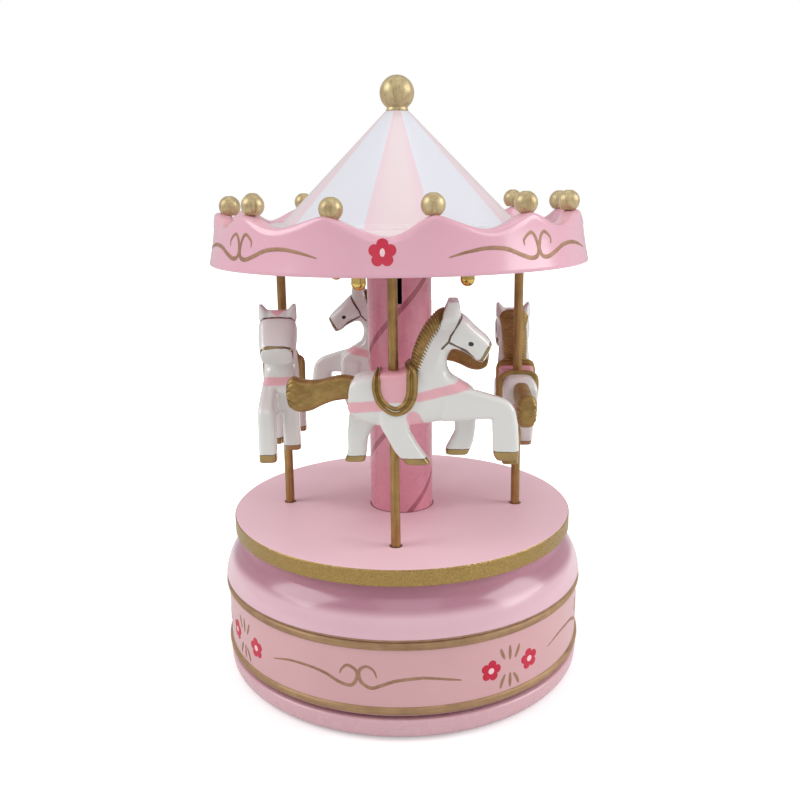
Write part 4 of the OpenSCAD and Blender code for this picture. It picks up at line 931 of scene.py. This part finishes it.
# %% Trunk, neck and head
LEG_MIDDLE, LEG_HALF = 2.85, 2.35
ROUNDS = 6
trunk = loft(
    [(-11.2, -5.0), (-10.9, -2.4), (-9.2, -0.5), (-5.4, 0.1), (0, 0.2), (4.4, 0.6), (8.5, 1.0), (13, 0.2),
     (17, -2.0), (20.2, -4.2), (21.2, -6.5)],
    [(-11.2, -6.6), (-11.6, -9.0), (-10, -11.3), (-5, -13.3), (0, -13.5), (4.4, -13.4), (8.5, -12.8),
     (13, -12.1), (17, -11.8), (20.2, -11.3), (21.2, -9.0)],
    [3.8, 4.6, 4.9, 4.9, 4.9, 4.9, 4.9, 4.9, 4.9, 4.7, 4.0],
)
CREST = [(2.6, -6), (3.6, -1.5), (4.6, 2.5), (5.8, 6.8), (8.0, 11.2), (11.2, 14.8)]
neck = loft(
    CREST,
    [(20.5, -8), (17.6, -2.6), (14.6, -0.2), (13.6, 3.0), (14.4, 5.6), (17, 9)],
    [4.9, 4.8, 4.6], power=2.7,
)
head = loft(
    [(9.0, 11.2), (12.2, 14.9), (17.2, 15.0), (20.6, 12.1), (23.9, 9.0), (25.0, 7.4)],
    [(11.0, 7.0), (13.4, 5.8), (15.6, 6.4), (18.6, 5.2), (21.0, 3.4), (22.6, 2.9)],
    [3.8, 5.0, 5.3, 5.1, 4.6, 4.1], power=3.6,
)
print("trunk, neck and head:", len(trunk[1]) + len(neck[1]) + len(head[1]), "quads")

# %% Legs
near_foreleg = loft(
    [(13.5, -2), (19.4, -3.6), (24.9, -5.2), (28.6, -6.6), (30.6, -8.6), (31.4, -12), (31.8, -16.4),
     (31.9, -20.4), (31.5, -22.0)],
    [(12.5, -12), (17.5, -11.8), (21.5, -11.4), (24.4, -11.3), (25, -11.9), (25.1, -14), (25.3, -17.4),
     (25.4, -20.4), (26.2, -22.1)],
    [LEG_HALF], -LEG_MIDDLE,
)
far_foreleg = loft(
    [(20.8, -6), (21.2, -10.5), (21, -15), (20.5, -18.6), (19.2, -21.9), (18.6, -22.3)],
    [(13.5, -7), (15.2, -12), (15.7, -15.6), (14.6, -18.2), (13.3, -20.8), (13.3, -22.2)],
    [LEG_HALF], LEG_MIDDLE,
)
near_hindleg = loft(
    [(4.6, -6), (4, -13.5), (4.9, -16), (6.6, -19), (9.2, -22.6), (9.5, -23.2)],
    [(-4.5, -7), (-3.4, -12.8), (-1.6, -16.4), (0.4, -20.1), (2.9, -22.9), (3.4, -23.3)],
    [LEG_HALF], -LEG_MIDDLE,
)
far_hindleg = loft(
    [(-3.6, -7), (-4.2, -12.8), (-5.9, -15.5), (-7.1, -18.3), (-7.4, -21.1), (-7.9, -24.2)],
    [(-11.4, -6), (-11.9, -12), (-12.3, -16), (-12.35, -19.2), (-12.5, -21.6), (-13.4, -24.2)],
    [LEG_HALF], LEG_MIDDLE,
)
legs = [near_foreleg, far_foreleg, near_hindleg, far_hindleg]
print("legs:", sum(len(leg[1]) for leg in legs), "quads")

# %% Ears and one skin
ears = [stack([
    (14.7, 3.5 * side, 13.8, 2.5, 1.7), (15.0, 3.6 * side, 16.0, 2.1, 1.6),
    (15.2, 4.2 * side, 17.5, 1.6, 0.95), (15.2, 4.6 * side, 18.5, 1.35, 0.45),
]) for side in (-1, 1)]
poll = stack([(14.9, 0, 13.8, 2.4, 4.8), (15.1, 0, 15.8, 2.0, 4.8), (15.15, 0, 16.8, 1.5, 4.3)])
grain = 0.28
carving = fused([trunk, neck, head, *legs, poll, *ears], grain, ROUNDS)
print("carving:", len(carving.vertices), "points, from voxels of", grain, "mm")

# %% [markdown]
# ### Paint of a horse
# Where paint ends is a matter of distance in the side view, so every point of the carving
# stores how deep it lies inside each painted area, in millimetres.  The material turns paint
# on where that depth passes zero, which keeps the edges crisp and wraps bands round the body.
# An image drawn on an unwrapped skin would blur at its pixels, and distances don't.

# %% Distances in the side view
def pinch(gap, up):
    """Width of the neck as a share: 1 - 0.4 (1 - gap / 6) near the crest, fading out from h = 11.5 to 14.5
    and from h = 3 down to 0."""
    return 1 - 0.4 * np.clip(1 - gap / 6, 0, 1) * np.clip((14.5 - up) / 3, 0, 1) * np.clip(up / 3, 0, 1)


def off_line(spot, line):
    """Least distance to a line of points: |p - a - clip((p - a).(b - a) / |b - a|^2, 0, 1) (b - a)|."""
    a = np.array(line[:-1], float)
    along = np.array(line[1:], float) - a
    p = spot[:, None] - a
    t = np.clip((p * along).sum(-1) / (along**2).sum(-1), 0, 1)
    return np.linalg.norm(p - t[..., None] * along, axis=-1).min(1)


print("at its crest the neck keeps", pinch(0.0, 8.0), "of its width")

# %% Painted areas
spot = np.empty(len(carving.vertices) * 3)
carving.vertices.foreach_get("co", spot)
carved = spot.reshape(-1, 3) / MM
carved[:, 1] *= pinch(off_line(carved[:, ::2], CREST), carved[:, 2])
side_view, across, up = carved[:, ::2], carved[:, 1], carved[:, 2]
# Of each band: half its width, and the line along its middle.
BANDS = [
    (1.2, [(6.5, -5.5), (19.4, -2.2)]),
    (1.4, [(-12.4, -8.3), (-3.5, -7.7)]),
    (1.9, [(5.2, -11.0), (6.8, -14.6)]),
]
STRAPS = [
    [(17.9, 15.9), (17.2, 14.6), (16.8, 13.8), (15.6, 11.7), (14.5, 10), (14.1, 8.7), (12.4, 6.8)],
    [(14.5, 8.3), (17, 7), (18.4, 6.3), (19.8, 4.9), (20.9, 3.3)],
]
STRAP_HALF = 0.27
# Of each hoof: its rear, its front, its side (-1 is near) and its top.
HOOVES = [(23.5, 34, -1, -19.6), (11, 21.5, 1, -20.6), (1.0, 11, -1, -21.5), (-14.5, -6, 1, -22.5)]
bands = np.max([half - off_line(side_view, line) for half, line in BANDS], axis=0)
forelock = np.minimum(np.minimum(carved[:, 0] - 15.4, up - 14.9), 1.05 * (up - 15.1) - np.abs(across))
hooves = np.max([
    np.min([top - up, carved[:, 0] - rear, front - carved[:, 0], side * across], axis=0)
    for rear, front, side, top in HOOVES
], axis=0)
bit = 0.24 - off_line(side_view, [(25.0, 8.8), (21.2, 2.0)])
muzzle = np.maximum(bit, 0.5 - off_line(side_view, [(21.6, 3.4), (22.2, 3.3)]))
muzzle = np.minimum(muzzle, np.maximum(np.abs(across) - 3.3, up - 4.6))
straps = np.max([STRAP_HALF - off_line(side_view, line) for line in STRAPS], axis=0)
buckle = 0.42 - off_line(side_view, [(17.3, 6.7), (18.7, 5.7)])
eye = 0.56 - off_line(side_view, [(19.45, 8.15), (19.7, 8.05)])
depths = {
    "band": np.maximum(bands, forelock),
    "gold": np.maximum(hooves, muzzle),
    "strap": np.maximum(straps, buckle),
    "eye": eye,
}
for label, depth in depths.items():
    carving.attributes.new(label, "FLOAT", "POINT").data.foreach_set("value", depth.astype(np.float32))
print("painted points:", {label: int((depth > 0).sum()) for label, depth in depths.items()})

# %% [markdown]
# The material reads those depths back.  A little noise is added to them first, so the edges
# wander as a hand-held brush does.

# %% Paint of the horses
def horse_finish():
    """White lacquer, with pink bands, gold hooves, brown straps and black eyes where their depths say."""
    material, tree, surface = new_material("horse_paint")
    depth = {
        label: add(tree, "ShaderNodeAttribute", {"attribute_name": label}).outputs["Fac"]
        for label in depths
    }
    spot = add(tree, "ShaderNodeTexCoord").outputs["Object"]
    wobble = noise_node(tree, spot, 420.0, 2.0, 0.5)
    shaky = math_node(tree, "MULTIPLY", math_node(tree, "SUBTRACT", wobble, 0.5), 0.5)
    band_on = step(tree, math_node(tree, "ADD", depth["band"], shaky), -0.3, 0.3)
    gold_on = step(tree, math_node(tree, "ADD", depth["gold"], shaky), -0.05, 0.05)
    rim_on = band(tree, math_node(tree, "ADD", depth["gold"], shaky), 0.0, 0.05, 0.09)
    strap_on = step(tree, math_node(tree, "ADD", depth["strap"], shaky), -0.07, 0.07)
    body = mix(tree, band_on, srgb(222, 222, 218), srgb(230, 172, 180))
    skin = group_node(tree, paint_skin, Colour=body, Cloud=0.05, Roughness=0.2)
    light, dark = srgb(172, 144, 88), srgb(142, 114, 64)
    coat = group_node(tree, brushed_coat, Vector=spot, Light=light, Dark=dark, Roughness=0.3)
    colour = mix(tree, gold_on, skin["Colour"], coat["Colour"])
    colour = mix(tree, math_node(tree, "MAXIMUM", rim_on, strap_on), colour, srgb(92, 72, 52))
    colour = mix(tree, step(tree, depth["eye"], -0.05, 0.05), colour, srgb(12, 9, 11))
    shader = finish_with(tree, surface, colour, skin["Roughness"], skin["Height"], 0.00001,
                         Coat_Weight=0.5, Coat_Roughness=0.08)
    tree.links.new(math_node(tree, "MULTIPLY", gold_on, 0.6), shader.inputs["Metallic"])
    return material


carving.materials.clear()
carving.materials.append(horse_finish())
carving.shade_smooth()
print("paint of the horses:", carving.materials[0].name)

# %% [markdown]
# ### Mane, tail and saddle
# The mane wraps over the crest of the neck as a thin shell of combed strokes.  Each stroke is
# a ridge, |sin(pi q)|^0.6 high, where q counts the strokes along the crest, and its tip makes
# one tooth of the lower edge.  Hair curves would look real; this mane is carved and gilded.

# %% Mane
STROKES, MANE_STEPS = 27, 270
MANE_THICK = 0.45
crest_points = [(4.1, 0.6), (4.6, 2.5), (5.75, 6.85), (7.9, 11.4), (11.0, 15.2), (13.0, 16.3)]
crest = smooth_line(crest_points, MANE_STEPS)
along = np.gradient(crest, axis=0)
along /= np.linalg.norm(along, axis=1, keepdims=True)
inward = np.stack([along[:, 1], -along[:, 0]], 1)
t = np.linspace(0, 1, MANE_STEPS)[:, None]
q = STROKES * t
tooth = 1 - np.abs(2 * (q % 1) - 1)
depth = np.interp(t, [0, 0.15, 0.4, 0.7, 0.9, 1], [1.0, 2.4, 3.3, 3.4, 2.8, 1.9]) * (0.64 + 0.36 * tooth)
v = np.linspace(-1, 1, 42)[None, :]
reach, half, power = 5.3, 4.75, 2.7      # of the neck's upper half: down, across, and how square it is
end = np.arccos((1 - depth / reach) ** (power / 2))
ridge = 0.12 + 0.34 * np.abs(np.sin(np.pi * q)) ** 0.6 * (1 - v**6)


def mane_skin(raised):
    """Rows along the crest: in from it by reach (1 - round(cos)), leaning back 0.4 of that, and
    half * pinch * round(sin) across."""
    inner = (reach + raised) * (1 - round_off(np.cos(v * end), power)) - raised
    back = 0.4 * np.maximum(inner, 0)
    flat = crest[:, None] + inward[:, None] * inner[..., None] - along[:, None] * back[..., None]
    wide = (half + raised) * pinch(np.maximum(inner, 0), flat[..., 1])
    return np.stack([flat[..., 0], wide * round_off(np.sin(v * end), power), flat[..., 1]], -1)


inner_skin = mane_skin(np.full(ridge.shape, -MANE_THICK))
mane = shut(np.concatenate([mane_skin(ridge), inner_skin[:, ::-1]], 1))
print("mane:", STROKES, "strokes,", len(mane[1]), "quads")

# %% [markdown]
# The tail is a loft like a leg, with grooves that open towards its end, where the carver's
# gouge ran out.  They are cut into the mesh, because a bump would leave its outline smooth.

# %% Tail
GROOVES = np.array([-0.72, -0.38, -0.05, 0.3, 0.68])
GROOVE_DEEP, GROOVE_HALF = 0.3, 0.075


def tail_grooves(t, v):
    """Five grooves that grow along the tail: 0.3 s^1.5 exp(-((v - c) / 0.075)^2), where s rises from 0 at
    t = 0.62 to 1 at t = 0.92."""
    opening = np.clip((t - 0.62) / 0.3, 0, 1) ** 1.5
    return GROOVE_DEEP * opening * np.exp(-(((v[..., None] - GROOVES) / GROOVE_HALF) ** 2)).sum(-1)


tail = loft(
    [(-9.6, -1.2), (-12.7, -0.6), (-16, -1.1), (-19.5, -1.9), (-23.2, -1.8), (-25.8, -1.0), (-27.2, -2.2),
     (-27.6, -4.2)],
    [(-9.8, -6.6), (-13.0, -7.0), (-15.5, -7.4), (-18.0, -8.3), (-21.4, -9.9), (-24.5, -10.2), (-26.8, -9.0),
     (-27.5, -6.6)],
    [2.1, 2.2, 2.3, 2.5, 2.7, 2.75, 2.5, 1.7], power=2.9, grooves=tail_grooves, steps=90, around=120,
)
print("tail:", len(tail[1]), "quads,", len(GROOVES), "grooves")

# %% [markdown]
# The saddle is a pink pad let into a gilded rim.  The rim is a strap with two ridges that runs
# round the body, so it is swept along a closed path in space.  The path gives, beside each
# point, the way out of the body there, which keeps the strap flat on the flanks and across
# the back.  A Curve with a bevel would twist at the bends.

# %% Saddle
seat_pad = loft(
    [(-3.6, 0.35), (-2.2, 0.6), (0.5, 0.62), (2.6, 0.9), (4.3, 1.7)],
    [(-3.8, -3.6), (-2.8, -6.9), (0.7, -8.7), (3.7, -7.3), (4.8, -3.0)],
    [5.2], power=7.0,
)


def strap_ring(path, half_widths, steps=220, around=28):
    """A strap with two ridges round a closed path of (u, y, h, and the way out of the body):
    0.52 - 0.3 cos(2 pi w) - 0.5 w^10 high at w across, from -1 to 1."""
    line = smooth_line(path, steps, True)
    spot, out = line[:, :3], line[:, 3:] / np.linalg.norm(line[:, 3:], axis=1, keepdims=True)
    ahead = np.roll(spot, -1, 0) - np.roll(spot, 1, 0)
    side = np.cross(out, ahead)
    side /= np.linalg.norm(side, axis=1, keepdims=True)
    wide = smooth_line(half_widths, steps, True)[:, :1]
    w = np.linspace(-1, 1, around)
    high = 0.52 - 0.3 * np.cos(2 * np.pi * w) - 0.5 * w**10
    face = spot[:, None] + side[:, None] * (wide * w)[..., None] + out[:, None] * high[None, :, None]
    back = spot[:, None] + side[:, None] * (wide * w[::-1])[..., None] - 0.5 * out[:, None]
    return sheet(np.concatenate([face, back], 1), (True, True))


near = [
    (-3.9, -4.75, -0.7, 0, -0.75, 0.65), (-3.95, -4.95, -3.6, 0, -1, 0), (-3.1, -4.95, -6.3, 0, -1, 0),
    (-1.2, -4.95, -8.3, 0, -1, 0), (1.0, -4.95, -9.05, 0, -1, 0), (3.3, -4.95, -7.8, 0, -1, 0),
    (4.55, -4.95, -5.3, 0, -1, 0), (4.85, -4.95, -2.2, 0, -1, 0), (4.7, -4.8, 0.6, -0.1, -1, 0.2),
    (4.1, -3.4, 2.0, -0.5, -0.55, 0.65),
]
far = [(u, -y, h, a, -b, c) for u, y, h, a, b, c in near[::-1]]
path = [
    (-3.8, -2.6, 0.3, 0, -0.2, 1), *near, (3.7, 0, 2.1, -0.7, 0, 0.7), *far,
    (-3.8, 2.6, 0.3, 0, 0.2, 1), (-3.8, 0, 0.35, 0, 0, 1),
]
widths = [0.8, 1.15, 1.25, 1.3, 1.4, 1.5, 1.55, 1.6, 1.6, 1.45, 1.0]
saddle_rim = strap_ring(path, [(w, w) for w in (*widths, 0.7, *widths[::-1], 0.65)])
print("saddle:", len(seat_pad[1]) + len(saddle_rim[1]), "quads")

# %% [markdown]
# ### Four copies
# Each horse sits on its pole, on a circle round the axis, turned to its azimuth, and at its own
# height, as the lifting cam leaves it at rest.  Linked copies with their own place would be
# lighter, but a joint moves each horse by itself, so each has its place in its mesh.

# %% Placing the horses
POLE_CIRCLE_R, SEAT_Z = 34.2, 87.3
# Of each horse: how far it is lifted, in mm, and its own turn on the pole, in degrees.
LIFTS = {"front": (7.0, 0.0), "right": (0.0, 1.5), "back": (3.99, 0.0), "left": (3.71, 5.5)}


def turned_flat(u, y, angle):
    """A point of the plane, turned by a: (u cos a - y sin a, u sin a + y cos a)."""
    a = np.radians(angle)
    return u * np.cos(a) - y * np.sin(a), u * np.sin(a) + y * np.cos(a)


def placed(spot, azimuth, seat, own_turn):
    """From the horse's frame to the toy's: turned about its pole, moved out to the poles' circle, turned to
    the azimuth and raised to its seat."""
    u, y = turned_flat(spot[..., 0], spot[..., 1], own_turn)
    x, y = turned_flat(u, y - POLE_CIRCLE_R, azimuth)
    return np.stack([x, y, spot[..., 2] + seat], -1)


saddle_pink = lacquer("saddle_pink", srgb(228, 168, 178), 0.3)
TRIMMINGS = (
    ("mane_and_tail", [mane, tail], horse_gold, "antique_gold"),
    ("saddle_rim", [saddle_rim], horse_gold, "antique_gold"),
    ("saddle_seat", [seat_pad], saddle_pink, "matt_pink"),
)
for number, (name, (lift, own_turn)) in enumerate(LIFTS.items()):
    azimuth, seat, rider = POLE_AZIMUTH + 90 * number, SEAT_Z + lift, f"rider_{name}"
    mesh = carving.copy()
    mesh.vertices.foreach_set("co", (placed(carved, azimuth, seat, own_turn) * MM).ravel())
    horse = link(f"horse_{name}_painted", mesh)
    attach(horse, rider)
    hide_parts(f"horse_{name}")
    for label, sheets, material, slot in TRIMMINGS:
        there = [(placed(p, azimuth, seat, own_turn), quads, finish) for p, quads, finish in sheets]
        piece(f"{label}_{name}", there, rider, [material], sharp=50)

# %% [markdown]
# ## Platform, column and the pieces inside
# These keep their exact solids, and take their finish here.  The platform's edge is gold
# glitter, which a shader of its own gives past EDGE_R, and a dark line of painted shade marks
# where the column stands on it; the inner faces of the column are painted dark as shade too.
# Two darker stripes climb the column as a double helix: height = start +
# 2 * pitch * azimuth / 360.  Two strands of 62 mm a turn, 31 mm apart, meet at the back.

# %% Platform
EDGE_R, FOOT_R = 49.72, 9.4


def platform_finish():
    """Matt pink on the faces, painted shade as a dark line round the foot of the column, and glitter on the
    rim.
    """
    material, tree, surface = new_material("platform_paint")
    radius = group_node(tree, places)["Radius"]
    # A dark rose ring at FOOT_R is painted shade, where the column stands on the platform.
    faces = mix(tree, band(tree, radius, FOOT_R, 0.1, 0.28), srgb(239, 200, 210), srgb(112, 62, 74))
    skin = group_node(tree, paint_skin, Colour=faces, Cloud=0.05, Roughness=0.48)
    grains = group_node(tree, sparkle, Colour=srgb(170, 141, 84), Grain=5200.0, Tilt=0.6)
    edge = step(tree, radius, EDGE_R, EDGE_R + 0.04)
    top = finish_with(tree, surface, skin["Colour"], skin["Roughness"], skin["Height"], 0.00001)
    side = finish_with(tree, surface, grains["Colour"], 0.34, None, normal=grains["Normal"], Metallic=0.8)
    joined = add(tree, "ShaderNodeMixShader", i0=edge, i1=top.outputs[0], i2=side.outputs[0])
    tree.links.new(joined.outputs[0], surface)
    return material


def cover_with(node, material):
    """Gives a solid kept from the frame a new finish."""
    mesh = frame["nodes"][node].data
    mesh.materials.clear()
    mesh.materials.append(material)


cover_with("turntable", platform_finish())

# %% Column
CLIMB_PITCH = 31.0       # mm from one climbing stripe to the next above it
CLIMB_START = -17.3      # height of a stripe at the front
CLIMB_HALF = 0.95
SHADED_INSIDE_R = 8.5           # less than this, the inner faces of the column are painted dark as shade


def column_finish():
    """Deep rose lacquer with its climbing stripes, and painted shade, dark brown, on its inner faces."""
    material, tree, surface = new_material("column_paint")
    where = group_node(tree, places)
    climb = math_node(tree, "MULTIPLY", where["Turn"], 2 * CLIMB_PITCH / 360)
    rise = math_node(tree, "SUBTRACT", math_node(tree, "SUBTRACT", where["Height"], climb), CLIMB_START)
    folded = math_node(tree, "PINGPONG", rise, CLIMB_PITCH / 2)
    stripe = math_node(tree, "SUBTRACT", 1.0, step(tree, folded, CLIMB_HALF, CLIMB_HALF + 0.25))
    colour = mix(tree, stripe, srgb(222, 144, 162), srgb(172, 94, 110))
    # Painted shade: the inner faces, seen through the slot, turn dark brown.
    colour = mix(tree, step(tree, where["Radius"], SHADED_INSIDE_R, SHADED_INSIDE_R + 0.2), srgb(58, 36, 34), colour)
    skin = group_node(tree, paint_skin, Colour=colour, Cloud=0.1, Roughness=0.26)
    finish_with(tree, surface, skin["Colour"], skin["Roughness"], skin["Height"],
                Coat_Weight=0.5, Coat_Roughness=0.1)
    return material


cover_with("column", column_finish())
print("stripes of the column rise", 2 * CLIMB_PITCH, "mm a turn")

# %% [markdown]
# Inside the base is the movement: brass plates and gears, steel shafts, a blued mainspring,
# nylon bearings, felt under the foot and a plywood deck.  Nobody sees them until the toy is
# taken apart, so they keep their solids, and each slot of the record gets one finish.  The
# marks of a tool run one way on metal, and the grain of plywood does so too, so both come
# from noise that is stretched along one axis.

# %% Materials of the movement
TOOL_MARKS = 0.00002      # metres


def metal(name, colour, roughness, along):
    """Bare metal with the marks of its making along one direction."""
    dark = tuple(0.72 * c for c in colour[:3]) + (1.0,)
    return gilt(name, colour, dark, along, roughness, 1.0, TOOL_MARKS)


def plain(name, colour, roughness, scale, depth, contrast):
    """Felt, nylon or plywood: noise stretched by scale gives its fibres or grain, as relief and as a
    change of shade."""
    material, tree, surface = new_material(name)
    spot = add(tree, "ShaderNodeTexCoord").outputs["Object"]
    grain = add(tree, "ShaderNodeMapping", Vector=spot, Scale=scale).outputs[0]
    noise = noise_node(tree, grain, 1.0, 5.0, 0.6)
    dark = tuple(contrast * c for c in colour[:3]) + (1.0,)
    tint = mix(tree, step(tree, noise, 0.35, 0.65), dark, colour)
    finish_with(tree, surface, tint, roughness, noise, depth)
    return material


print("tool marks on metal:", round(TOOL_MARKS / MM, 4), "mm deep")

# %% Finishes of the solids that stay
inside = {
    "shell_paint": shoulder_pink,
    "gloss_pink": ceiling_pink,
    "matt_pink": ceiling_pink,
    "column_pink": ceiling_pink,
    "horse_paint": waist_pink,
    "antique_gold": pole_gold,
    "mirror_gold": mirror_gold,
    "felt": plain("felt_grey", srgb(96, 96, 100), 0.95, (2500, 2500, 2500), 0.0002, 0.6),
    "nylon": plain("nylon_natural", srgb(232, 228, 214), 0.45, (900, 900, 900), 0.00002, 0.94),
    "plywood": plain("plywood", srgb(206, 176, 132), 0.6, (60, 900, 900), 0.00005, 0.8),
    "brass": metal("brass_turned", srgb(214, 178, 104), 0.25, (200, 200, 3000)),
    "steel": metal("steel_ground", srgb(196, 198, 202), 0.3, (1800, 300, 1800)),
    "blued_steel": metal("steel_blued", srgb(70, 84, 118), 0.3, (1800, 300, 1800)),
}
for part in frame["record"]["subparts"]:
    if part["node"] not in ("turntable", "column"):
        cover_with(part["node"], inside[part["material_slot"]])
# The centre post shows through the column's slot; its near-black finish is painted shade there.
cover_with("centre_post", metal("post_painted_shade", srgb(38, 34, 36), 0.5, (1800, 1800, 300)))
